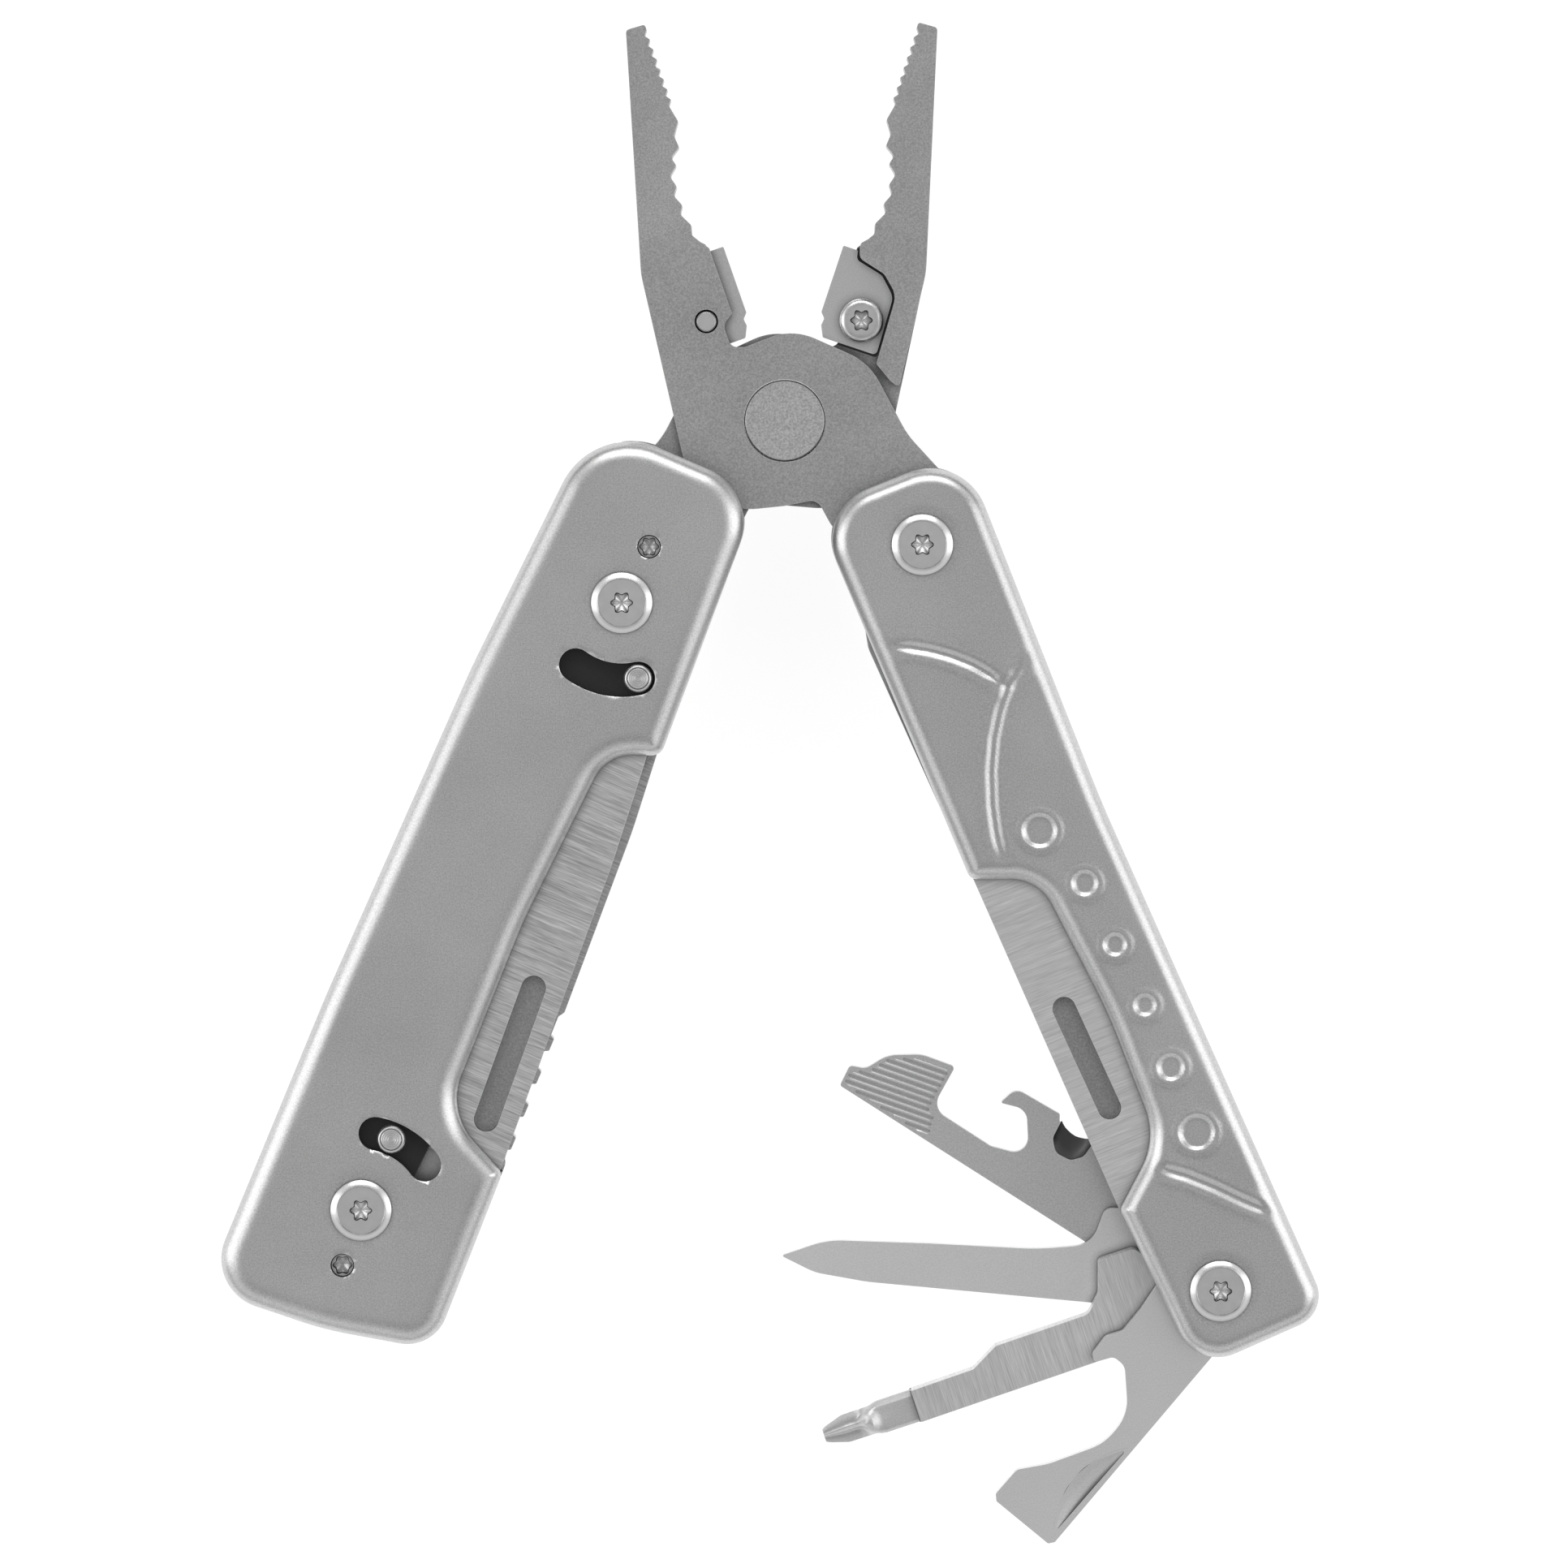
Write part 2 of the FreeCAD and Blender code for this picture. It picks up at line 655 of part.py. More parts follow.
def build_left_fasteners():
    build_post("left_tang_post", "pivot_radius", "(dims.cover_face - dims.cover_sheet)", "small_bore",
               0, on_left_handle)
    build_post("left_end_post", "end_post_radius", "(dims.cover_face - dims.cover_sheet)",
               "small_bore", -size("end_post_drop"), on_left_handle)
    small = []
    for north in (0, -size("end_post_drop")):
        for front in (True, False):
            small.append(dict(east=0, north=north, front=front, head="small_radius",
                              shank="small_shank", base="small_seat", rise="small_rise",
                              bevel=None, length="dims.small_length"))
    screw_pair("left_handle_screws", small, on_left_handle)

    collar = new_body("left_end_collar")
    ring = sketch_on(collar, "-dims.channel_half",
                     circles=[(0, -size("end_post_drop"), "end_collar_radius"),
                              (0, -size("end_post_drop"), "small_hole")])
    pad(collar, ring, "2 * dims.channel_half")
    on_left_handle(collar)

    knife_east = size("knife_offset")
    knife_north = -size("knife_pivot_drop")
    for label, front, east, north in (
            ("upper_lock_screw", True, -0.35, -6.9),
            ("knife_pivot_screw", True, knife_east, knife_north),
            ("serrated_pivot_screw", False, knife_east, knife_north)):
        body = new_body(label)
        add_screw_end(body, east, north, front, "head_radius", "pivot_radius", "cover_face",
                      "head_rise", "dims.head_bevel", "dims.cover_face - dims.channel_half")
        on_left_handle(body)


def build_right_fasteners():
    build_post("right_tang_post", "pivot_radius", "dims.cover_face", "screw_bore", 0,
               on_right_handle)
    build_post("tool_post", "pivot_radius", "dims.cover_face", "screw_bore",
               -size("tool_pivot_drop"), on_right_handle)
    large = []
    for north in (0, -size("tool_pivot_drop")):
        for front in (True, False):
            large.append(dict(east=0, north=north, front=front, head="head_radius",
                              shank="screw_shank", base="cover_face", rise="head_rise",
                              bevel="dims.head_bevel", length="dims.screw_length"))
    screw_pair("right_handle_screws", large, on_right_handle)

    washers = []
    seats = ("0.01 - dims.channel_half", "dims.opener_top + 0.01", "dims.pointed_top + 0.01",
             "dims.phillips_top + 0.01", "dims.flat_top + 0.01")
    for number, height in enumerate(seats):
        body = doc.addObject("PartDesign::Body", "washer_%d" % (number + 1))
        body.Label = "washer_%d" % (number + 1)
        ring = sketch_on(body, height, circles=[(0, 0, "washer_radius"), (0, 0, "pivot_hole")])
        pad(body, ring, "dims.washer_sheet")
        washers.append(body)
    group = doc.addObject("Part::Compound", "tool_washers")
    group.Label = "tool_washers"
    group.Links = washers
    doc.recompute()
    on_tool_post(group, "0")
    PIECES.append(group)


# ---------------------------------------------------------------- lock levers

def build_lock(name, front, radius, slot_start, slot_end, pin_angle, east, north, plate):
    """Black lever under the cover and the round pin that slides in the slot."""
    sign = "" if front else "-"
    body = new_body(name + "_lever")
    eye = 4.3
    start, end = plate
    corners = []
    steps = 7
    for i in range(steps + 1):
        angle = math.radians(start + (end - start) * i / steps)
        corners.append((east + 10.8 * math.cos(angle), north + 10.8 * math.sin(angle),
                        1.2 if i in (0, steps) else 12))
    middle = math.radians((start + end) / 2)
    for offset in (60, 120, 180, 240, 300):
        angle = middle + math.radians(offset) * (1 if end > start else -1)
        corners.append((east + eye * 1.1 * math.cos(angle), north + eye * 1.1 * math.sin(angle), 2.4))
    face = "%s(dims.lever_face)" % sign
    blank = sketch_on(body, face, outline(corners))
    pad(body, blank, "dims.lever_sheet", up=not front)
    pin_x = east + radius * math.cos(math.radians(pin_angle))
    pin_y = north + radius * math.sin(math.radians(pin_angle))
    holes = sketch_on(body, face, circles=[(east, north, "pivot_hole"), (pin_x, pin_y, "pin_hole")])
    pocket(body, holes, "dims.lever_sheet", up=not front)
    on_left_handle(body)

    pin = new_body(name + "_pin")
    low = "%s(dims.lever_face - dims.lever_sheet)" % sign
    rod = sketch_on(pin, low, circles=[(pin_x, pin_y, "pin_radius")])
    rod_pad = pad(pin, rod, "dims.pin_length", up=front)
    top = size("lever_face") - size("lever_sheet") + size("pin_length")
    bevel_edges(pin, rod_pad, edges_at(pin.Shape, top if front else -top), "dims.pin_bevel")
    on_left_handle(pin)


def build_locks():
    knife_east = size("knife_offset")
    knife_north = -size("knife_pivot_drop")
    build_lock("upper_lock", True, 8.6, -103, -55, -54.8, -0.35, -6.9, (-122, -40))
    build_lock("knife_lock", True, 8.6, 59, 102, 90.0, knife_east, knife_north, (67, 121))
    build_lock("serrated_lock", False, 8.6, 59, 102, 90.0, knife_east, knife_north, (67, 121))


# ---------------------------------------------------------------- outside blades

# Round eye of an outside blade; it has to turn past the end post of the handle.
EYE_REACH = 5.07
EYE_ROUND = 4.7
EYE = [(EYE_REACH * math.cos(math.radians(turn)), EYE_REACH * math.sin(math.radians(turn)), EYE_ROUND)
       for turn in range(75, -106, -30)]
TANG = ([(-1.85, 8.9, 0.4), (-2.15, 4.4, 0.2)] + EYE
        + [(-3.6, -4.6, 3.4), (-6.2, 3.5, 3), (-6.1, 11.5, 1.2), (-4.9, 12.6, 0.6)])
KNIFE = [
    (7.2, 67.6, 0.4), (9.3, 60.0, 12), (10.6, 46.0, 60), (12.55, 9.6, 0.6), *TANG,
    (-5.6, 30.0, 40), (-4.6, 46.0, 30), (0.5, 60.0, 20),
]
SERRATED = [
    (9.8, 65.0, 1.5), (11.25, 50.0, 60), (12.25, 28.0, 0.3), (11.8, 27.3, 0.3),
    (12.75, 9.6, 0.6), *TANG,
]
SERRATIONS = 11
GRIP_BUMPS = 4


def serrated_outline():
    """Plain spine with grip bumps near the pivot, scallops along the edge."""
    corners = SERRATED[:4]
    for i in range(GRIP_BUMPS):
        north = 25.0 - 4.0 * i
        base = 11.85 + 0.14 * i
        corners += [(base, north, 0.15), (base + 0.5, north - 0.2, 0.25),
                    (base + 0.5, north - 1.7, 0.25), (base, north - 1.9, 0.15)]
    corners += SERRATED[4:]
    for i in range(SERRATIONS):
        north = 15.0 + 4.0 * i
        east = -5.0 + 0.035 * i * i
        corners += [(east, north, 0.1), (east + 0.8, north + 2.0, 1.2)]
    corners += [(-0.6, 60.0, 3), (4.0, 64.6, 4)]
    return corners


def long_blade_outline(toothed):
    """Straight spine on the left, long work edge on the right."""
    corners = [(-9.4, 76.8, 1.0), (-7.0, 10.0, 1.2), (1.5, 9.2, 0.4), (1.9, 4.4, 0.2),
               (-3.4, 4.9, 3), (-5.0, 0.0, 4.2), (-2.9, -4.9, 3.4), (3.6, -4.6, 3.4),
               (6.0, 3.5, 3), (6.0, 12.0, 1.2), (4.6, 13.4, 0.6)]
    if toothed:
        for i in range(24):
            north = 15.0 + 2.4 * i
            east = 5.0 - 0.045 * (north - 15.0)
            corners += [(east, north, 0), (east - 1.1, north + 1.2, 0.1)]
    corners.append((1.6, 76.8, 1.0))
    return corners


def build_outside_blade(label, corners, front, slot, stopped=()):
    body = new_body(label)
    face = "%s(dims.blade_face)" % ("" if front else "-")
    blank = sketch_on(body, face, outline(corners))
    pad(body, blank, "dims.blade_sheet", up=not front)
    hole = sketch_on(body, face, circles=[(0, 0, "pivot_hole")])
    pocket(body, hole, "dims.blade_sheet", up=not front)
    if slot:
        opening = sketch_on(body, face, straight_slot(*slot))
        pocket(body, opening, "dims.thumb_depth", up=not front)
    return body


def bevel_knife(body):
    """Grind the cutting edge thin from both faces."""
    for side in (1, -1):
        middle = size("blade_face") - size("blade_sheet") / 2
        points = [(-9.0, middle + side * 0.08), (-4.2, middle + side * 0.25),
                  (3.0, middle + side * 1.16), (3.0, middle + side * 2.0),
                  (-9.0, middle + side * 2.0)]
        sketch = body.newObject("Sketcher::SketchObject", body.Label + "_grind_sketch")
        sketch.AttachmentSupport = (plane_of(body, "XZ_Plane"), [""])
        sketch.MapMode = "FlatFace"
        lines = []
        for i in range(len(points)):
            first = points[i]
            second = points[(i + 1) % len(points)]
            lines.append(Part.LineSegment(FreeCAD.Vector(first[0], first[1], 0),
                                          FreeCAD.Vector(second[0], second[1], 0)))
        sketch.addGeometry(lines, False)
        sketch.setExpression("AttachmentOffset.Base.z", "-14")
        before = body.Shape.Volume
        cut = body.newObject("PartDesign::Pocket", body.Label + "_grind")
        cut.Profile = sketch
        cut.setExpression("Length", "60")
        cut.Reversed = False
        doc.recompute()
        if not body.Shape.Volume < before - 1e-3:
            cut.Reversed = True
            doc.recompute()
        print("grind", body.Label, side, round(before - body.Shape.Volume, 2))


def build_outside_blades():
    east = ("dims.left_pivot_east + cos(dims.left_turn * 1deg) * dims.knife_offset"
            " + sin(dims.left_turn * 1deg) * dims.knife_pivot_drop")
    north = ("dims.left_pivot_north + sin(dims.left_turn * 1deg) * dims.knife_offset"
             " - cos(dims.left_turn * 1deg) * dims.knife_pivot_drop")
    knife = build_outside_blade("knife", KNIFE, True, (7.95, 30.2, 8.85, 14.6, 1.38))
    bevel_knife(knife)
    place(knife, east, north, "dims.left_turn")
    serrated = build_outside_blade("serrated_blade", serrated_outline(), False, None)
    place(serrated, east, north, "dims.left_turn")
    saw = build_outside_blade("saw", long_blade_outline(True), True, (-4.5, 35.6, -3.9, 23.4, 1.3))
    on_tool_post(saw, "0")
    file_tool = build_outside_blade("file", long_blade_outline(False), False,
                                    (-4.5, 35.6, -3.9, 23.4, 1.3))
    on_tool_post(file_tool, "0")


# ---------------------------------------------------------------- small tools

EYE_LEFT = [(-4.2, -4.0, 3.9)]
EYE_RIGHT = [(4.4, -4.2, 3.9)]

OPENER = [
    (-4.9, 47.4, 0.3), (-4.4, 8.0, 0), (-4.3, -4.3, 4.0), (4.4, -4.3, 4.0), (4.6, 8.0, 3),
    (6.5, 14.0, 3), (6.3, 19.6, 0.3), (5.4, 20.3, 0.8), (4.75, 22.1, 1.5), (5.2, 24.4, 0.8),
    (6.0, 24.9, 0.2), (5.7, 30.6, 1.3), (3.4, 31.2, 0.15), (4.4, 28.3, 1.7), (0.1, 25.2, 2.3),
    (-1.3, 29.4, 0.8), (-1.35, 37.3, 1.8), (4.0, 37.7, 0.4), (3.1, 41.6, 4), (0.9, 44.8, 4),
    (-1.7, 46.0, 1.5), (-2.4, 47.7, 0.5),
]
POINTED = [
    (-2.2, 49.0, 0.15), (-3.7, 45.0, 6), (-4.15, 39.0, 20), (-3.9, 13.9, 0), (-3.95, 0.0, 0),
    (-3.95, -4.2, 3.9), (4.3, -4.2, 3.9), (5.2, 6.5, 3), (7.2, 9.6, 0.8), (6.9, 13.2, 1.2),
    (2.6, 14.3, 3), (1.5, 20.3, 30), (0.9, 32.3, 40), (0.1, 44.0, 10),
]
PHILLIPS = [
    (-4.4, 41.6, 0.2), (-4.05, 14.0, 0), (-4.05, -4.2, 3.9), (4.3, -4.2, 3.9), (4.9, 6.2, 2),
    (6.7, 7.6, 0.8), (6.7, 11.8, 0.5), (3.1, 13.0, 1.0), (1.3, 14.8, 1.2), (1.2, 25.8, 0.6),
    (-0.5, 29.0, 0.6), (-0.65, 41.6, 0.2),
]
FLAT_DRIVER = [
    (-4.6, 5.6, 0), (-4.6, -4.3, 4.1), (4.4, -4.3, 4.1), (5.3, 4.3, 1.5), (5.0, 7.5, 2),
    (5.0, 10.7, 0.8), (6.1, 12.4, 0.8), (6.0, 14.8, 0.6), (5.2, 15.5, 0.4), (3.9, 13.6, 0.9),
    (2.3, 13.6, 1.5), (-1.5, 17.6, 5), (-1.5, 21.8, 6), (1.9, 27.6, 8), (4.2, 30.3, 1.2),
    (4.3, 33.9, 0.4), (3.7, 34.5, 0.2), (-3.8, 34.5, 0.3), (-4.3, 33.9, 0.3),
]


def build_tool(label, corners, top, sheet_words, turn):
    body = new_body(label)
    blank = sketch_on(body, top, outline(corners))
    pad(body, blank, sheet_words, up=False)
    hole = sketch_on(body, top, circles=[(0, 0, "pivot_hole")])
    pocket(body, hole, sheet_words, up=False)
    on_tool_post(body, turn)
    return body


NOTCH_BEVEL = [
    (7.0, 24.6, 0.2), (5.2, 24.3, 1.5), (3.3, 24.1, 1.2), (2.1, 22.9, 1.2), (2.3, 21.0, 1.2),
    (3.5, 20.0, 1.2), (5.0, 19.95, 1.5), (7.0, 20.4, 0.2),
]
RIB_LEAN = 14.0
RIB_SPACING = 0.75
RIB_INSET = 0.45
RIB_HALF_WIDTH = 0.17


def within(x, y, corners, margin):
    """True for a point inside the corners and at least the margin from every side."""
    inside = False
    for i in range(len(corners)):
        x1, y1, _ = corners[i - 1]
        x2, y2, _ = corners[i]
        if (y1 > y) != (y2 > y) and x < (x2 - x1) * (y - y1) / (y2 - y1) + x1:
            inside = not inside
        dx, dy, length = unit(x2 - x1, y2 - y1)
        along = max(0.0, min(length, (x - x1) * dx + (y - y1) * dy))
        if math.hypot(x - x1 - along * dx, y - y1 - along * dy) < margin:
            return False
    return inside


def opener_ribs():
    """Shallow parallel grooves over the scraper end, stopped clear of its edges."""
    lean = math.radians(RIB_LEAN)
    ribs = []
    for i in range(-14, 15):
        base_x = -1.0 + RIB_SPACING * i * math.cos(lean)
        base_y = 41.0 + RIB_SPACING * i * math.sin(lean)
        run = []
        for k in range(-120, 121):
            x = base_x - 0.1 * k * math.sin(lean)
            y = base_y + 0.1 * k * math.cos(lean)
            if y > 37.2 + 0.27 * x and within(x, y, OPENER, RIB_INSET):
                run.append((x, y))
        if len(run) > 12:
            ribs.append(straight_slot(*run[0], *run[-1], RIB_HALF_WIDTH))
    return ribs


def add_phillips_tip(body):
    """Ground shank with a round point on the end of the flat tang."""
    shank = [(-5.0, 36.4, 0), (0.5, 36.4, 0), (0.5, 42.5, 0), (-5.0, 42.5, 0)]
    top_cut = sketch_on(body, "dims.phillips_top", outline(shank))
    pocket(body, top_cut, "dims.tip_step", up=False)
    low_cut = sketch_on(body, "dims.phillips_top - dims.phillips_sheet", outline(shank))
    pocket(body, low_cut, "dims.tip_step", up=True)
    middle = size("phillips_top") - size("phillips_sheet") / 2
    sketch = body.newObject("Sketcher::SketchObject", "phillips_tip_sketch")
    sketch.AttachmentSupport = (plane_of(body, "YZ_Plane"), [""])
    sketch.MapMode = "FlatFace"
    sketch.setExpression("AttachmentOffset.Base.z", "-2.45")
    profile = [(36.6, 0.0), (36.6, 0.9), (41.2, 0.9), (41.9, 1.55), (42.6, 1.62), (44.9, 1.6),
               (47.3, 0.75), (47.3, 0.0)]
    lines = []
    for i in range(len(profile)):
        first = profile[i]
        second = profile[(i + 1) % len(profile)]
        lines.append(Part.LineSegment(FreeCAD.Vector(first[0], middle + first[1], 0),
                                      FreeCAD.Vector(second[0], middle + second[1], 0)))
    sketch.addGeometry(lines, False)
    axis = sketch.addGeometry(Part.LineSegment(FreeCAD.Vector(30, middle, 0),
                                               FreeCAD.Vector(50, middle, 0)), True)
    spin = body.newObject("PartDesign::Revolution", "phillips_tip")
    spin.Profile = sketch
    spin.ReferenceAxis = (sketch, ["Axis0"])
    spin.Angle = 360
    doc.recompute()
    return axis


def build_small_tools():
    opener = build_tool("opener", OPENER, "dims.opener_top", "dims.opener_sheet",
                        "dims.opener_turn")
    bevel = sketch_on(opener, "dims.opener_top", outline(NOTCH_BEVEL))
    pocket(opener, bevel, "dims.notch_depth", up=False)
    for rib in opener_ribs():
        cut = sketch_on(opener, "dims.opener_top", rib)
        pocket(opener, cut, "dims.rib_depth", up=False)
    build_tool("pointed_blade", POINTED, "dims.pointed_top", "dims.pointed_sheet",
               "dims.pointed_turn")
    phillips = build_tool("phillips_driver", PHILLIPS, "dims.phillips_top",
                          "dims.phillips_sheet", "dims.phillips_turn")
    add_phillips_tip(phillips)
    driver = build_tool("flat_driver", FLAT_DRIVER, "dims.flat_top", "dims.flat_sheet",
                        "dims.flat_turn")
    nick = sketch_on(driver, "dims.flat_top",
                     outline([(-3.6, 33.1, 0.2), (-1.4, 28.9, 5), (-1.4, 25.0, 5), (-3.9, 20.5, 0.2)]))
    pocket(driver, nick, "dims.nick_depth", up=False)

    spring = new_body("tool_back_spring")
    blank = sketch_on(spring, "-dims.channel_half + 0.1", outline([
        (7.55, -71.0, 0.3), (8.35, -71.0, 0.3), (9.25, -94.6, 0.5), (7.7, -94.6, 0.5)]))
    pad(spring, blank, "2 * dims.channel_half - 0.2")
    on_right_handle(spring)


EXTRA_DIMENSIONS = {
    "rivet_hole": 4.6,
    "insert_hole": 1.32,
    "insert_shank": 1.27,
    "insert_head": 2.45,
    "insert_head_rise": 1.2,
    "insert_head_round": 0.6,
    "small_bore": 0.82,
    "small_shank": 0.8,
    "small_seat": 8.9,
    "small_rise": 0.85,
    "small_length": 3.0,
    "bore_depth": 4.2,
    "screw_bore": 1.52,
    "screw_shank": 1.5,
    "screw_length": 3.8,
    "stub_hole": 2.36,
    "pin_length": 2.4,
    "pin_bevel": 0.2,
    "thumb_depth": 1.0,
    "rib_depth": 0.2,
    "nick_depth": 0.6,
    "notch_depth": 1.0,
    "tip_step": 0.65,
    "dimple_large": 1.75,
    "dimple_mid": 1.3,
    "dimple_small": 1.1,
}
for row, (alias, value) in enumerate(EXTRA_DIMENSIONS.items(), start=len(DIMENSIONS) + 1):
    cell = "B%d" % row
    sheet.set("A%d" % row, alias)
    sheet.set(cell, str(value))
    sheet.setAlias(cell, alias)
DIMENSIONS.update(EXTRA_DIMENSIONS)
doc.recompute()

build_jaw_half("front_jaw_half", True)
build_jaw_half("rear_jaw_half", False)
build_jaw_rivet()
build_insert("front_cutter_insert", True)
build_insert("rear_cutter_insert", False)
build_insert_screw("front_cutter_screw", True)
build_insert_screw("rear_cutter_screw", False)
build_left_covers()
build_right_covers()
build_liners()
build_left_fasteners()
build_right_fasteners()
build_locks()
build_outside_blades()
build_small_tools()
doc.recompute()

# ---------------------------------------------------------------- checks and files

for thing in doc.Objects:
    if "Invalid" in thing.State or "Error" in thing.State:
        print("BAD STATE", thing.Name, thing.State)

os.makedirs("parts", exist_ok=True)
whole = FreeCAD.BoundBox()
for piece in PIECES:
    shape = piece.Shape
    if shape.isNull() or not shape.isValid():
        print("BAD SHAPE", piece.Label)
        continue
    whole.add(shape.BoundBox)
    print("%-24s solids %d volume %9.2f" % (piece.Label, len(shape.Solids), shape.Volume))
    shape.exportStep("parts/%s.step" % piece.Label)
print("box", whole)
print("pieces", len(PIECES))
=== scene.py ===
import json
import math

import bmesh
import bpy
import numpy as np
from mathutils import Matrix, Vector
from mathutils.geometry import delaunay_2d_cdt


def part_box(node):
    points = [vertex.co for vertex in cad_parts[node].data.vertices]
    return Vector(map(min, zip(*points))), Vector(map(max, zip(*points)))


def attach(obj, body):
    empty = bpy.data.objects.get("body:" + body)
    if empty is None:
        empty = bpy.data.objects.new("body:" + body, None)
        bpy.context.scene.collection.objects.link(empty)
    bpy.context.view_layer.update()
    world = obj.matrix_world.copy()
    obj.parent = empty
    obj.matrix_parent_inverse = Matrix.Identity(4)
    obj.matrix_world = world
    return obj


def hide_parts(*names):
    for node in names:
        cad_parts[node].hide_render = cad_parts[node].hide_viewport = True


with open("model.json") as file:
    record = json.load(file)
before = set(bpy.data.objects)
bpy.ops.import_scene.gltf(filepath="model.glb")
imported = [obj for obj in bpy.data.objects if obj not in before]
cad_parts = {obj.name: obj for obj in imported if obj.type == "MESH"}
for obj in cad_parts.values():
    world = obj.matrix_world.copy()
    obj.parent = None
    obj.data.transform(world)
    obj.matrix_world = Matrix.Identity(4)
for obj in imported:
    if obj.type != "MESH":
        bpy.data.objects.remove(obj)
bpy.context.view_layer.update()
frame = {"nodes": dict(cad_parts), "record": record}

MM = 0.001
JOINTS = {joint["name"]: joint for joint in frame["record"]["behaviour"]["joints"]}
NODES = frame["nodes"]


def add_object(name, data):
    """New object, linked into the scene."""
    thing = bpy.data.objects.new(name, data)
    bpy.context.scene.collection.objects.link(thing)
    return thing


# ------------------------------------------------------------ camera

# width seen at the tool, and how far away the lens is, in metres
PHOTO_SPAN = 0.1752
CAMERA_DISTANCE = 0.95
CAMERA_TILT = math.radians(87.4)
SENSOR = 36.0


def set_camera():
    """Long lens from straight above, a little towards the jaws."""
    target = Vector((0.0016, 0.0002, 0.0145))
    data = bpy.data.cameras.new("camera")
    data.sensor_width = SENSOR
    data.lens = SENSOR * CAMERA_DISTANCE / PHOTO_SPAN
    data.clip_end = 20.0
    camera = add_object("camera", data)
    away = Vector((0.0, math.cos(CAMERA_TILT), math.sin(CAMERA_TILT)))
    camera.location = target + away * CAMERA_DISTANCE
    camera.rotation_euler = (CAMERA_TILT - math.radians(90.0), 0.0, 0.0)
    bpy.context.scene.camera = camera


set_camera()

# ------------------------------------------------------------ frames of the pieces


class FlatFrame:
    """Frame on the axis of a joint: millimetres in the plane of the tool, turned about Z."""

    def __init__(self, joint, degrees):
        self.origin = Vector(JOINTS[joint]["pos_m"])
        self.turn = math.radians(degrees)
        self.cos = math.cos(self.turn)
        self.sin = math.sin(self.turn)

    def row(self, east, north, height):
        """Point of the world, in metres, for millimetres in this frame."""
        x = self.origin.x + (east * self.cos - north * self.sin) * MM
        y = self.origin.y + (east * self.sin + north * self.cos) * MM
        return (x, y, self.origin.z + height * MM)


LEFT_TURN = -23.15
RIGHT_TURN = 21.82
LEFT = FlatFrame("left_fold", LEFT_TURN)
RIGHT = FlatFrame("right_fold", RIGHT_TURN)
KNIFE = FlatFrame("knife_open", LEFT_TURN)
SAW = FlatFrame("saw_open", RIGHT_TURN)
OPENER = FlatFrame("opener_open", RIGHT_TURN + 34.9)
PHILLIPS = FlatFrame("phillips_open", RIGHT_TURN + 86.6)
FLAT_DRIVER = FlatFrame("flat_open", RIGHT_TURN + 118.7)

# ------------------------------------------------------------ materials


class NodeTree:
    """Short way to add and link the nodes of a material or a world."""

    def __init__(self, owner):
        owner.use_nodes = True
        self.tree = owner.node_tree
        self.tree.nodes.clear()

    def add(self, kind, **settings):
        node = self.tree.nodes.new(kind)
        for key, value in settings.items():
            setattr(node, key, value)
        return node

    def link(self, source, target):
        self.tree.links.new(source, target)

    def spread(self, value, low, high, out_low, out_high):
        node = self.add("ShaderNodeMapRange")
        node.inputs["From Min"].default_value = low
        node.inputs["From Max"].default_value = high
        node.inputs["To Min"].default_value = out_low
        node.inputs["To Max"].default_value = out_high
        self.link(value, node.inputs["Value"])
        return node.outputs["Result"]

    def math(self, first, second, operation="ADD"):
        node = self.add("ShaderNodeMath", operation=operation)
        self.link(first, node.inputs[0])
        if hasattr(second, "links"):
            self.link(second, node.inputs[1])
        else:
            node.inputs[1].default_value = second
        return node.outputs["Value"]


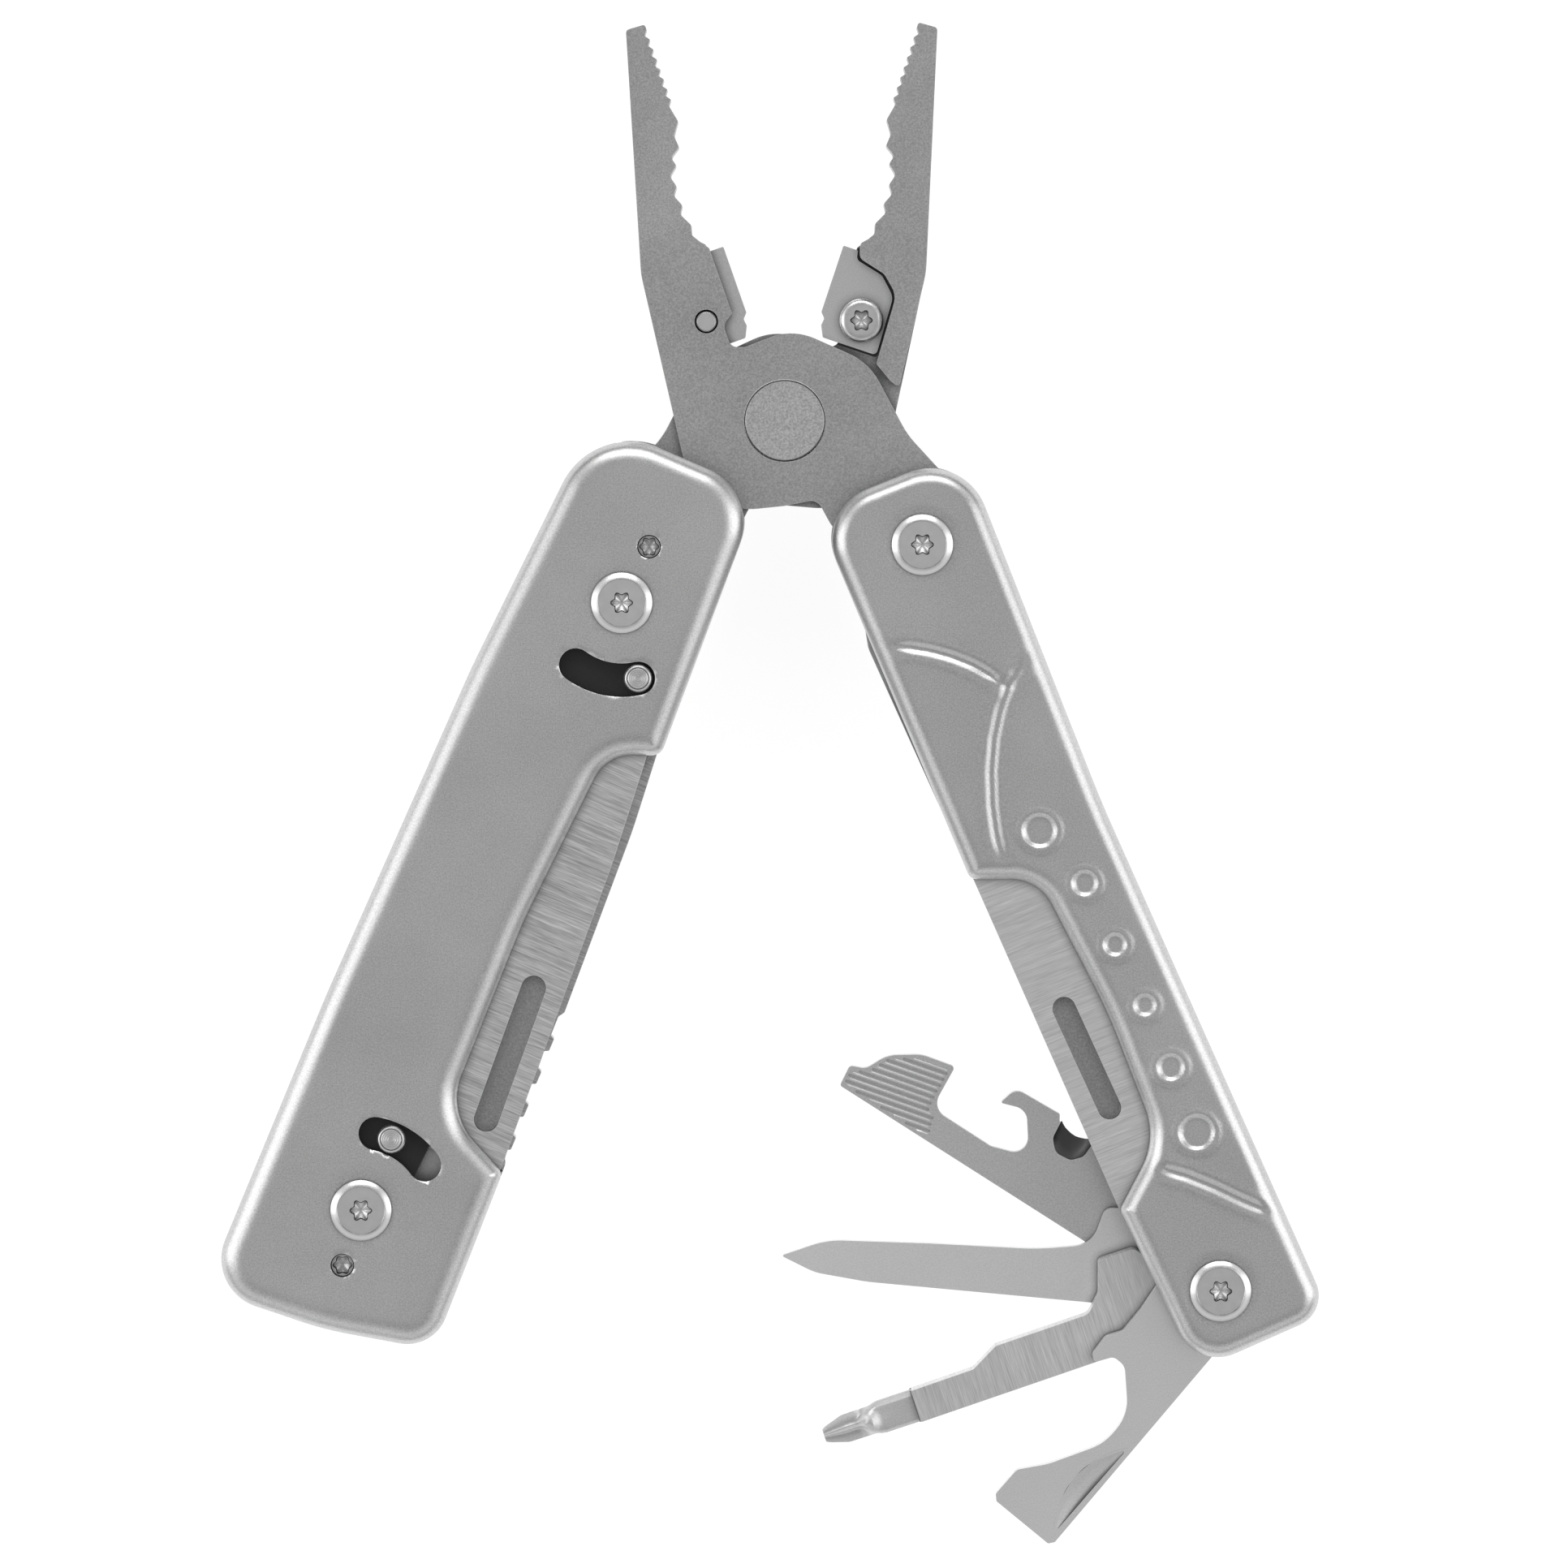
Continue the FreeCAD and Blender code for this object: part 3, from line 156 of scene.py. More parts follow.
class Nodes(NodeTree):
    """Node material on one principled shader."""

    def __init__(self, name):
        self.material = bpy.data.materials.new(name)
        super().__init__(self.material)
        output = self.add("ShaderNodeOutputMaterial")
        self.shader = self.add("ShaderNodeBsdfPrincipled")
        self.link(self.shader.outputs["BSDF"], output.inputs["Surface"])

    def position(self, scale=(1, 1, 1), turn=0.0):
        """Object coordinates, turned about Z and stretched."""
        coordinates = self.add("ShaderNodeTexCoord")
        spin = self.add("ShaderNodeMapping")
        spin.inputs["Rotation"].default_value = (0, 0, turn)
        stretch = self.add("ShaderNodeMapping")
        stretch.inputs["Scale"].default_value = scale
        self.link(coordinates.outputs["Object"], spin.inputs["Vector"])
        self.link(spin.outputs["Vector"], stretch.inputs["Vector"])
        return stretch.outputs["Vector"]

    def noise(self, vector, scale, detail=2.0, roughness=0.5):
        node = self.add("ShaderNodeTexNoise")
        node.inputs["Scale"].default_value = scale
        node.inputs["Detail"].default_value = detail
        node.inputs["Roughness"].default_value = roughness
        self.link(vector, node.inputs["Vector"])
        return node.outputs["Fac"]

    def grey(self, value, low, high):
        """Colour that runs between two greys."""
        mix = self.add("ShaderNodeMix", data_type="RGBA")
        mix.inputs["A"].default_value = (low, low, low, 1)
        mix.inputs["B"].default_value = (high, high, high, 1)
        self.link(value, mix.inputs["Factor"])
        return mix.outputs["Result"]

    def towards(self, colour, level, share):
        """Mix a colour towards one grey by a share."""
        mix = self.add("ShaderNodeMix", data_type="RGBA")
        mix.inputs["B"].default_value = (level, level, level, 1)
        self.link(colour, mix.inputs["A"])
        self.link(share, mix.inputs["Factor"])
        return mix.outputs["Result"]

    def crevice_shade(self, reach, strength):
        """Painted shade: 0 on open faces, up to the strength deep in grooves and along joints."""
        node = self.add("ShaderNodeAmbientOcclusion", samples=6)
        node.inputs["Distance"].default_value = reach * MM
        return self.spread(node.outputs["AO"], 0.25, 0.92, strength, 0.0)

    def bump(self, height, strength, distance):
        node = self.add("ShaderNodeBump")
        node.inputs["Strength"].default_value = strength
        node.inputs["Distance"].default_value = distance * MM
        self.link(height, node.inputs["Height"])
        self.link(node.outputs["Normal"], self.shader.inputs["Normal"])

    def edges(self, radius):
        """1 on edges, where wear and a painted highlight lighten the steel; 0 on the flat."""
        rounded_edge = self.add("ShaderNodeBevel", samples=4)
        rounded_edge.inputs["Radius"].default_value = radius * MM
        sharp = self.add("ShaderNodeNewGeometry")
        product = self.add("ShaderNodeVectorMath", operation="DOT_PRODUCT")
        self.link(rounded_edge.outputs["Normal"], product.inputs[0])
        self.link(sharp.outputs["Normal"], product.inputs[1])
        return self.spread(product.outputs["Value"], 0.995, 0.93, 0.0, 1.0)

    def finish_metal(self, colour, roughness, metallic=1.0):
        self.link(colour, self.shader.inputs["Base Color"])
        self.link(roughness, self.shader.inputs["Roughness"])
        self.shader.inputs["Metallic"].default_value = metallic
        return self.material


# grey that the painted shade darkens grooves, recesses and joints towards
PAINTED_SHADE_GREY = 0.03


def blasted_steel(name, dark, light, grain, roughness, worn_lit_grey, shade_strength=0.85):
    """Bead-blasted steel: fine grey speckle, soft patches, bare edges with a painted highlight,
    painted shade in the corners.
    """
    n = Nodes(name)
    place = n.position()
    speckle = n.noise(place, grain, 3.0, 0.75)
    patches = n.noise(place, 60.0, 3.0, 0.55)
    tone = n.math(n.spread(speckle, 0.36, 0.64, 0.0, 0.8), n.spread(patches, 0.3, 0.7, 0.0, 0.2))
    # lighter edges: wear, and a painted highlight
    worn_and_lit = n.math(n.edges(0.2), n.spread(patches, 0.35, 0.65, 0.3, 0.8), "MULTIPLY")
    colour = n.towards(n.grey(tone, dark, light), worn_lit_grey, worn_and_lit)
    # painted shade: darker deep in grooves and along joints
    colour = n.towards(colour, PAINTED_SHADE_GREY, n.crevice_shade(1.1, shade_strength))
    rough = n.spread(patches, 0.3, 0.7, roughness - 0.03, roughness + 0.04)
    n.bump(speckle, 0.45, 0.02)
    return n.finish_metal(colour, n.math(rough, n.math(worn_and_lit, -0.1, "MULTIPLY")))


def brushed_steel(name, dark, light, turn, roughness):
    """Fine grinding lines square to the blade, stronger in some bands."""
    n = Nodes(name)
    lines = n.noise(n.position((110, 7500, 400), -turn), 1.0, 3.0, 0.65)
    wide = n.noise(n.position((30, 900, 100), -turn), 1.0, 2.0, 0.6)
    short = n.noise(n.position((420, 5200, 400), -turn), 1.0, 2.0, 0.6)
    fine = n.math(n.spread(lines, 0.3, 0.7, 0.0, 0.5), n.spread(short, 0.3, 0.7, 0.0, 0.35))
    tone = n.math(fine, n.spread(wide, 0.3, 0.7, 0.0, 0.15))
    # lighter edges: wear, and a painted highlight
    colour = n.towards(n.grey(tone, dark, light), 0.85, n.math(n.edges(0.2), 0.7, "MULTIPLY"))
    # painted shade: darker deep in grooves and along joints
    colour = n.towards(colour, 0.04, n.crevice_shade(1.1, 0.85))
    rough = n.spread(lines, 0.25, 0.75, roughness - 0.07, roughness + 0.08)
    n.bump(tone, 0.4, 0.02)
    return n.finish_metal(colour, rough)


def turned_steel(name, level, roughness, shade_strength=0.9):
    """Screw heads and pins: smoother, with faint marks and handling haze."""
    n = Nodes(name)
    haze = n.noise(n.position(), 900.0, 4.0, 0.6)
    fine = n.noise(n.position(), 9000.0, 2.0, 0.5)
    colour = n.grey(n.spread(haze, 0.3, 0.7, 0.0, 1.0), level * 0.92, level)
    # painted shade: darker in recesses and along joints
    colour = n.towards(colour, PAINTED_SHADE_GREY, n.crevice_shade(0.7, shade_strength))
    n.bump(fine, 0.15, 0.01)
    return n.finish_metal(colour, n.spread(haze, 0.3, 0.7, roughness, roughness + 0.1))


def black_oxide(name):
    """Blackened steel: near black, matt, rubbed grey along its edges as wear and as a painted
    highlight.
    """
    n = Nodes(name)
    grain = n.noise(n.position(), 2500.0, 4.0, 0.7)
    colour = n.towards(n.grey(grain, 0.008, 0.024), 0.16, n.math(n.edges(0.2), 0.5, "MULTIPLY"))
    n.bump(grain, 0.35, 0.03)
    return n.finish_metal(colour, n.spread(grain, 0.3, 0.7, 0.45, 0.62), 0.3)


# blasted: darkest and lightest grey, grain scale, roughness, grey of worn edges with their
# painted highlight, and the strength of the painted shade where it isn't the usual one
COVER_STEEL = blasted_steel("cover_blasted", 0.48, 0.74, 6200.0, 0.33, 0.72)
JAW_STEEL = blasted_steel("jaw_tumbled", 0.37, 0.64, 5200.0, 0.38, 0.8)
RIVET_STEEL = blasted_steel("rivet_ground", 0.44, 0.82, 4300.0, 0.36, 0.8)
INSERT_STEEL = blasted_steel("insert_satin", 0.62, 0.78, 7000.0, 0.32, 0.9)
TOOL_STEEL = blasted_steel("tool_satin", 0.78, 0.94, 6500.0, 0.33, 0.95)
OPENER_STEEL = blasted_steel("opener_satin", 0.56, 0.76, 5000.0, 0.34, 0.8, 0.45)
POINT_STEEL = blasted_steel("point_ground", 0.58, 0.72, 5000.0, 0.46, 0.75)
LINER_STEEL = blasted_steel("liner_satin", 0.45, 0.58, 3800.0, 0.36, 0.75)
# darker floor of nail grooves and of the driver's step: painted shade
GROOVE_SHADE_STEEL = blasted_steel("groove_floor", 0.26, 0.42, 4200.0, 0.45, 0.4)
# turned: grey, roughness, and how strongly painted shade shows in the recesses
SCREW_STEEL = turned_steel("screw_turned", 0.72, 0.25)
# small screws deep in their holes: a darker grey than the other screws, as painted shade
SOCKET_STEEL = turned_steel("socket_painted_shade", 0.62, 0.22, 0.75)
# near black: painted shade on recess walls, gaps and grooves of turned parts
PAINTED_SHADE_STEEL = turned_steel("recess_painted_shade", 0.05, 0.35)
# near-black steel of the notch wall: painted shade
NOTCH_SHADE_STEEL = turned_steel("notch_painted_shade", 0.17, 0.4, 0.6)
PIN_STEEL = turned_steel("pin_turned", 0.72, 0.27)
LEVER_BLACK = black_oxide("lever_black")
# brushed: darkest and lightest grey, direction of the piece, roughness
KNIFE_STEEL = brushed_steel("knife_brushed", 0.32, 1.0, LEFT.turn, 0.36)
SAW_STEEL = brushed_steel("saw_brushed", 0.58, 0.94, RIGHT.turn, 0.36)
PHILLIPS_STEEL = brushed_steel("phillips_brushed", 0.56, 0.98, PHILLIPS.turn, 0.36)

PAINT = {
    "front_jaw_half": JAW_STEEL, "rear_jaw_half": JAW_STEEL,
    "front_cutter_insert": INSERT_STEEL, "rear_cutter_insert": INSERT_STEEL,
    "knife": KNIFE_STEEL, "serrated_blade": KNIFE_STEEL, "saw": SAW_STEEL, "file": SAW_STEEL,
    "opener": OPENER_STEEL, "pointed_blade": TOOL_STEEL, "flat_driver": TOOL_STEEL,
    "upper_lock_lever": LEVER_BLACK, "knife_lock_lever": LEVER_BLACK,
    "serrated_lock_lever": LEVER_BLACK, "tool_back_spring": LINER_STEEL,
    "left_front_liner": LINER_STEEL, "left_rear_liner": LINER_STEEL,
    "right_front_liner": LINER_STEEL, "right_rear_liner": LINER_STEEL,
}
# millimetres; the other carried-over pieces take the default
DEFAULT_BEVEL = 0.08
BEVEL_WIDTH = {
    "front_jaw_half": 0.2, "rear_jaw_half": 0.2, "flat_driver": 0.28, "pointed_blade": 0.2,
    "opener": 0.09, "knife": 0.12, "saw": 0.12,
}


def soften(piece, width, degrees, segments=2):
    """Small bevel, in millimetres, on every edge sharper than an angle."""
    bevel = piece.modifiers.new("soft_edges", "BEVEL")
    bevel.width = width * MM
    bevel.segments = segments
    bevel.limit_method = "ANGLE"
    bevel.angle_limit = math.radians(degrees)


def finish_cad_node(name, thing):
    """Break the sharp edges of a carried-over piece and give it its steel."""
    material = PAINT.get(name, SCREW_STEEL)
    if not thing.material_slots:
        thing.data.materials.append(material)
    for slot in thing.material_slots:
        slot.material = material
    weld = thing.modifiers.new("weld", "WELD")
    weld.merge_threshold = 0.002 * MM
    soften(thing, BEVEL_WIDTH.get(name, DEFAULT_BEVEL), 38)


# ------------------------------------------------------------ mesh building


class Shape:
    """Collects rows and faces of one piece, in metres."""

    def __init__(self):
        self.bm = bmesh.new()

    def strip(self, first, second, shade, closed):
        """Faces between two rows of the same length."""
        count = len(first)
        for i in range(count if closed else count - 1):
            j = (i + 1) % count
            face = self.bm.faces.new((first[i], first[j], second[j], second[i]))
            face.material_index = shade

    def loft(self, rows, shades, closed=True, caps=True):
        """Skin over rows of points; each row names the shade of the band that leads to it."""
        made = [[self.bm.verts.new(point) for point in row] for row in rows]
        for k in range(1, len(made)):
            self.strip(made[k - 1], made[k], shades[k], closed)
        if caps:
            self.bm.faces.new(made[0]).material_index = shades[0]
            self.bm.faces.new(made[-1]).material_index = shades[-1]
        return made

    def turned(self, centre, side, rings, count=72):
        """Turned part about a vertical axis; rings are (radius, lobes, height, shade)."""
        rows = []
        for radius, lobes, height, _ in rings:
            row = []
            for i in range(count):
                angle = 2 * math.pi * i / count
                reach = radius * (1 + lobes * math.cos(6 * angle)) * MM
                row.append((centre[0] + reach * math.cos(angle),
                            centre[1] + reach * math.sin(angle),
                            centre[2] + side * height * MM))
            rows.append(row)
        self.loft(rows, [ring[3] for ring in rings])

    def plate(self, place, outline, holes, top, low):
        """Flat plate with holes, in the frame of its piece."""
        points, triangles = fill(outline, [], holes)
        made = [self.bm.verts.new(place.row(x, y, top)) for x, y in points]
        faces = [self.bm.faces.new([made[i] for i in triangle]) for triangle in triangles]
        extruded = bmesh.ops.extrude_face_region(self.bm, geom=faces, use_keep_orig=True)
        for part in extruded["geom"]:
            if isinstance(part, bmesh.types.BMVert):
                part.co.z += (low - top) * MM
        self.drop_loose()

    def drop_loose(self):
        """Remove the points that no face uses."""
        loose = [v for v in self.bm.verts if not v.link_faces]
        bmesh.ops.delete(self.bm, geom=loose, context="VERTS")

    def make_object(self, name, materials):
        """Smooth-shaded object from the collected faces."""
        mesh = bpy.data.meshes.new(name)
        for face in self.bm.faces:
            face.smooth = True
        self.bm.to_mesh(mesh)
        self.bm.free()
        for material in materials:
            mesh.materials.append(material)
        return add_object(name, mesh)

    def finish(self, name, materials, body, nodes=(), sharp=32.0, upward=False):
        """Turn the collected faces into a piece that rides on its body."""
        bmesh.ops.recalc_face_normals(self.bm, faces=self.bm.faces)
        if upward and sum(f.normal.z for f in self.bm.faces) < 0:
            bmesh.ops.reverse_faces(self.bm, faces=self.bm.faces)
        piece = self.make_object(name, materials)
        piece.data.set_sharp_from_angle(angle=math.radians(sharp))
        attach(piece, body)
        for node in nodes:
            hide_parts(node)
        return piece


def rounded(corners, step):
    """Points along a closed chain of lines and tangent arcs."""
    count = len(corners)
    joints = []
    for i in range(count):
        x, y, radius = corners[i]
        point = np.array((x, y))
        a = np.array(corners[i - 1][:2]) - point
        b = np.array(corners[(i + 1) % count][:2]) - point
        a_length = np.linalg.norm(a)
        b_length = np.linalg.norm(b)
        a = a / a_length
        b = b / b_length
        angle = math.acos(max(-1.0, min(1.0, float(a @ b))))
        if radius <= 0 or angle > math.radians(179.2):
            joints.append([point])
            continue
        reach = min(radius / math.tan(angle / 2), 0.485 * min(a_length, b_length))
        radius = reach * math.tan(angle / 2)
        middle = (a + b) / np.linalg.norm(a + b)
        centre = point + middle * radius / math.sin(angle / 2)
        start = point + a * reach
        end = point + b * reach
        first = math.atan2(*(start - centre)[::-1])
        sweep = math.atan2(*(end - centre)[::-1]) - first
        sweep = (sweep + math.pi) % (2 * math.pi) - math.pi
        pieces = max(2, int(abs(sweep) * radius / step), int(abs(sweep) / 0.12))
        joints.append([centre + radius * np.array((math.cos(first + sweep * k / pieces),
                                                   math.sin(first + sweep * k / pieces)))
                       for k in range(pieces + 1)])
    points = []
    for i in range(count):
        points += joints[i]
        start = joints[i][-1]
        end = joints[(i + 1) % count][0]
        length = np.linalg.norm(end - start)
        pieces = int(length / step)
        for k in range(1, pieces):
            points.append(start + (end - start) * k / pieces)
    return np.array(points)


def distance_to(points, chain, closed=True):
    """Distance of each point to a chain of segments."""
    best = np.full(len(points), 1e9)
    last = len(chain) if closed else len(chain) - 1
    for i in range(last):
        a = np.array(chain[i])
        b = np.array(chain[(i + 1) % len(chain)])
        run = b - a
        share = np.clip(((points - a) @ run) / max(1e-12, float(run @ run)), 0, 1)
        gap = np.linalg.norm(points - (a + share[:, None] * run), axis=1)
        best = np.minimum(best, gap)
    return best


def inside(points, chain):
    """Which points lie within a closed chain."""
    result = np.zeros(len(points), dtype=bool)
    x, y = points[:, 0], points[:, 1]
    for i in range(len(chain)):
        x1, y1 = chain[i]
        x2, y2 = chain[(i + 1) % len(chain)]
        if y1 != y2:
            crosses = (y1 > y) != (y2 > y)
            result ^= crosses & (x < (x2 - x1) * (y - y1) / (y2 - y1) + x1)
    return result


def fill(outline, loose, holes):
    """Points and triangles that fill an outline around its holes.

    loose holds groups of points that lie inside the outline and belong to no edge.
    """
    groups = [outline] + loose + holes
    edges = []
    count = 0
    for k, group in enumerate(groups):
        size = len(group)
        if k == 0 or k > len(loose):
            edges += [(count + i, count + (i + 1) % size) for i in range(size)]
        count += size
    result = delaunay_2d_cdt([Vector(p) for p in np.concatenate(groups)], edges, [],
                             0, 1e-6, False)
    points = np.array([tuple(v) for v in result[0]])
    middles = np.array([points[list(face)].mean(axis=0) for face in result[2]])
    keep = inside(middles, outline)
    for hole in holes:
        keep &= ~inside(middles, hole)
    return points, [face for face, kept in zip(result[2], keep) if kept]


def circle(east, north, radius, count=48):
    return np.array([(east + radius * math.cos(2 * math.pi * i / count),
                      north + radius * math.sin(2 * math.pi * i / count)) for i in range(count)])


def curved_slot(east, north, radius, half, start, end):
    """Outline of a slot that curves about a pivot."""
    arc = 19
    cap = 12
    turns = [math.radians(start + (end - start) * k / (arc - 1)) for k in range(arc)]
    outer = [(east + (radius + half) * math.cos(t), north + (radius + half) * math.sin(t))
             for t in turns]
    inner = [(east + (radius - half) * math.cos(t), north + (radius - half) * math.sin(t))
             for t in reversed(turns)]
    caps = []
    for turn, begin in ((turns[-1], 0.0), (turns[0], math.pi)):
        middle_x = east + radius * math.cos(turn)
        middle_y = north + radius * math.sin(turn)
        caps.append([(middle_x + half * math.cos(turn + begin + math.pi * k / cap),
                      middle_y + half * math.sin(turn + begin + math.pi * k / cap))
                     for k in range(1, cap)])
    return np.array(outer + caps[0] + inner + caps[1])


def smooth_step(value, low, high):
    """0 below low, 1 above high, and a smooth rise between."""
    share = np.clip((value - low) / (high - low), 0, 1)
    return share * share * (3 - 2 * share)


# ------------------------------------------------------------ pressed covers

LEFT_OUTLINE = [
    (-11.2, 10.5, 8.3), (8.9, 10.5, 6.6), (10.3, -20.9, 1.5), (4.7, -23.2, 6.5),
    (3.5, -44.0, 60), (4.0, -66.8, 8), (12.35, -70.6, 1.4), (13.0, -91.9, 4.6),
    (1.0, -94.6, 40), (-13.1, -95.7, 5.6), (-13.5, -60.0, 150), (-12.9, -20.0, 90),
]
RIGHT_OUTLINE = [
    (-9.7, 8.0, 6.2), (8.1, 8.0, 6.6), (7.9, -34.0, 150), (10.4, -96.4, 3.6),
    (-5.7, -97.0, 4.8), (-7.05, -77.0, 1.1), (-0.3, -71.2, 8), (-0.15, -56.0, 60),
    (-1.8, -39.4, 5), (-8.85, -36.7, 1.3),
]
# flat centre: east, north, radius; each has a raised ring round it
DIMPLES = [
    (0.3, -34.3, 1.72), (2.8, -41.6, 1.25), (3.4, -49.2, 1.1),
    (4.0, -56.7, 1.05), (4.1, -64.2, 1.32), (4.1, -72.0, 1.8),
]
# pressed lines: points along each, depth, and half width
GROOVES = [
    ([(-8.0, -8.9), (-5.6, -10.0), (-3.6, -11.2), (-1.6, -12.7), (0.3, -14.5), (1.7, -16.3),
      (2.9, -18.3)], 0.34, 0.46),
    ([(6.3, -15.6), (4.6, -17.0), (3.2, -18.0), (1.2, -20.3), (-0.6, -23.0), (-2.2, -26.2),
      (-3.5, -29.8), (-4.3, -33.0), (-4.75, -36.7)], 0.24, 0.45),
    ([(-2.4, -73.5), (-1.0, -74.4), (1.3, -76.2), (3.6, -78.4), (6.0, -81.0), (9.2, -84.2)],
     0.36, 0.5),
]
# heights above the middle plane and below the face; the sheet is thinner than the CAD's,
# so that the inside of the wide roll stays clear of the upper lock lever
COVER_FACE = 10.0
COVER_DEPTH = 2.1
COVER_DROP = 2.0
COVER_SHEET = 0.7
LEFT_ROLL = 2.7
RIGHT_ROLL = 2.1
RIM_BEVEL = 0.09
LEFT_SCREWS = ((-0.35, -6.9), (-0.5, -80.5))
LEFT_SMALL_SCREWS = ((0.0, 0.0), (0.0, -87.0))
RIGHT_SCREWS = ((0.0, 0.0), (0.0, -89.5))
HEAD_RADIUS = 3.4


def head_seats(points, screws):
    """Slight dish pressed round each large screw head."""
    height = np.zeros(len(points))
    for east, north in screws:
        reach = np.hypot(points[:, 0] - east, points[:, 1] - north)
        height -= 0.12 * (1 - smooth_step(reach, HEAD_RADIUS + 0.05, HEAD_RADIUS + 1.3))
    return height


def left_relief(points):
    return head_seats(points, LEFT_SCREWS)


def right_relief(points):
    """Pressed dimples and lines of the right covers, in millimetres."""
    height = head_seats(points, RIGHT_SCREWS)
    for east, north, radius in DIMPLES:
        reach = np.hypot(points[:, 0] - east, points[:, 1] - north)
        height += 0.2 * np.exp(-((reach - radius - 0.45) / 0.5) ** 2)
        height -= 0.19 * (1 - smooth_step(reach, radius - 0.15, radius + 0.25))
    for line, depth, width in GROOVES:
        gap = distance_to(points, line, closed=False)
        ends = np.minimum(np.linalg.norm(points - np.array(line[0]), axis=1),
                          np.linalg.norm(points - np.array(line[-1]), axis=1))
        fade = 0.2 + 0.8 * smooth_step(ends, 0.0, 3.2)
        height -= depth * fade * np.exp(-(gap / (width * (0.5 + 0.5 * fade))) ** 2)
        height += 0.08 * fade * np.exp(-((gap - 1.15) / 0.5) ** 2)
    return height


def rolled_drop(reach, roll):
    """How far the sheet has dropped at a distance from its outline."""
    share = np.clip(1 - reach / roll, 0, 1)
    return COVER_DROP * (1 - np.sqrt(np.maximum(0, 1 - share ** 2)))


def cover_points(edge, openings, roll, spacing):
    """Rings along the roll and a grid over the flat."""
    along = np.roll(edge, -1, axis=0) - np.roll(edge, 1, axis=0)
    along /= np.linalg.norm(along, axis=1)[:, None]
    inward = np.stack((-along[:, 1], along[:, 0]), axis=1)
    if inside(edge + inward * 0.05, edge).mean() < 0.5:
        inward = -inward
    points = []
    for degrees in range(10, 91, 10):
        reach = roll * (1 - math.cos(math.radians(degrees)))
        ring = edge + inward * reach
        points.append(ring[distance_to(ring, edge) > reach - 0.02])
    low = edge.min(axis=0)
    high = edge.max(axis=0)
    grid = np.array([(x, y) for x in np.arange(low[0], high[0], spacing)
                     for y in np.arange(low[1], high[1], spacing)])
    grid = grid[inside(grid, edge)]
    grid = grid[distance_to(grid, edge) > roll + 0.3 * spacing]
    for hole in openings:
        grid = grid[(~inside(grid, hole)) & (distance_to(grid, hole) > 0.25)]
    return points + [grid]


def pressed_cover(node, corners, openings, relief, roll, spacing, place, front, body):
    """Sheet steel cover: rolled edge, pressed relief, holes and a real thickness."""
    edge = rounded(corners, 0.5)
    side = 1.0 if front else -1.0
    flat, triangles = fill(edge, cover_points(edge, openings, roll, spacing), openings)
    reach = distance_to(flat, edge)
    height = COVER_FACE - rolled_drop(reach, roll) + relief(flat) * smooth_step(reach, 0.8, 2.4)

    shape = Shape()
    bm = shape.bm
    made = [bm.verts.new(place.row(x, y, side * h)) for (x, y), h in zip(flat, height)]
    for triangle in triangles:
        bm.faces.new([made[i] for i in triangle])
    shape.drop_loose()
    limit = (COVER_FACE - COVER_DROP + 0.05) * MM
    rim = [e for e in bm.edges if e.is_boundary
           and all(abs(v.co.z - place.origin.z) < limit for v in e.verts)]
    skirt = bmesh.ops.extrude_edge_only(bm, edges=rim)
    for part in skirt["geom"]:
        if isinstance(part, bmesh.types.BMVert):
            part.co.z = place.origin.z + side * (COVER_FACE - COVER_DEPTH) * MM
    bmesh.ops.recalc_face_normals(bm, faces=bm.faces)
    if sum(f.normal.z * side * f.calc_area() for f in bm.faces) < 0:
        bmesh.ops.reverse_faces(bm, faces=bm.faces)
    cover = shape.make_object(node + "_pressed", [COVER_STEEL])
    sheet = cover.modifiers.new("sheet", "SOLIDIFY")
    sheet.thickness = COVER_SHEET * MM
    sheet.offset = -1
    sheet.use_even_offset = False
    soften(cover, RIM_BEVEL, 60)
    split = cover.modifiers.new("crisp_holes", "EDGE_SPLIT")
    split.split_angle = math.radians(48)
    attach(cover, body)
    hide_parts(node)


def build_covers():
    """Four covers, the rear ones mirrored; the left rear one has no upper slot or screw."""
    upper_screw, knife_screw = LEFT_SCREWS
    upper = curved_slot(*upper_screw, 8.6, 1.86, -103.4, -54.4)
    lower = curved_slot(*knife_screw, 8.7, 1.86, 58.6, 102.6)
    small = [circle(*spot, 1.32, 32) for spot in LEFT_SMALL_SCREWS]
    screw_holes = [circle(*upper_screw, 2.4), circle(*knife_screw, 2.4)]
    pressed_cover("left_front_cover", LEFT_OUTLINE, small + screw_holes + [upper, lower],
                  left_relief, LEFT_ROLL, 0.8, LEFT, True, "left_handle")
    pressed_cover("left_rear_cover", LEFT_OUTLINE, small + [screw_holes[1], lower],
                  left_relief, LEFT_ROLL, 0.8, LEFT, False, "left_handle")
    holes = [circle(*spot, 2.4) for spot in RIGHT_SCREWS]
    pressed_cover("right_front_cover", RIGHT_OUTLINE, holes, right_relief, RIGHT_ROLL, 0.3,
                  RIGHT, True, "right_handle")
    pressed_cover("right_rear_cover", RIGHT_OUTLINE, holes, right_relief, RIGHT_ROLL, 0.4,
                  RIGHT, False, "right_handle")


# ------------------------------------------------------------ screws, pins, rivet

# shade indices of turned parts: their own steel, and near-black painted shade on recess walls,
# gaps and grooves
BRIGHT = 0
PAINTED_SHADE = 1
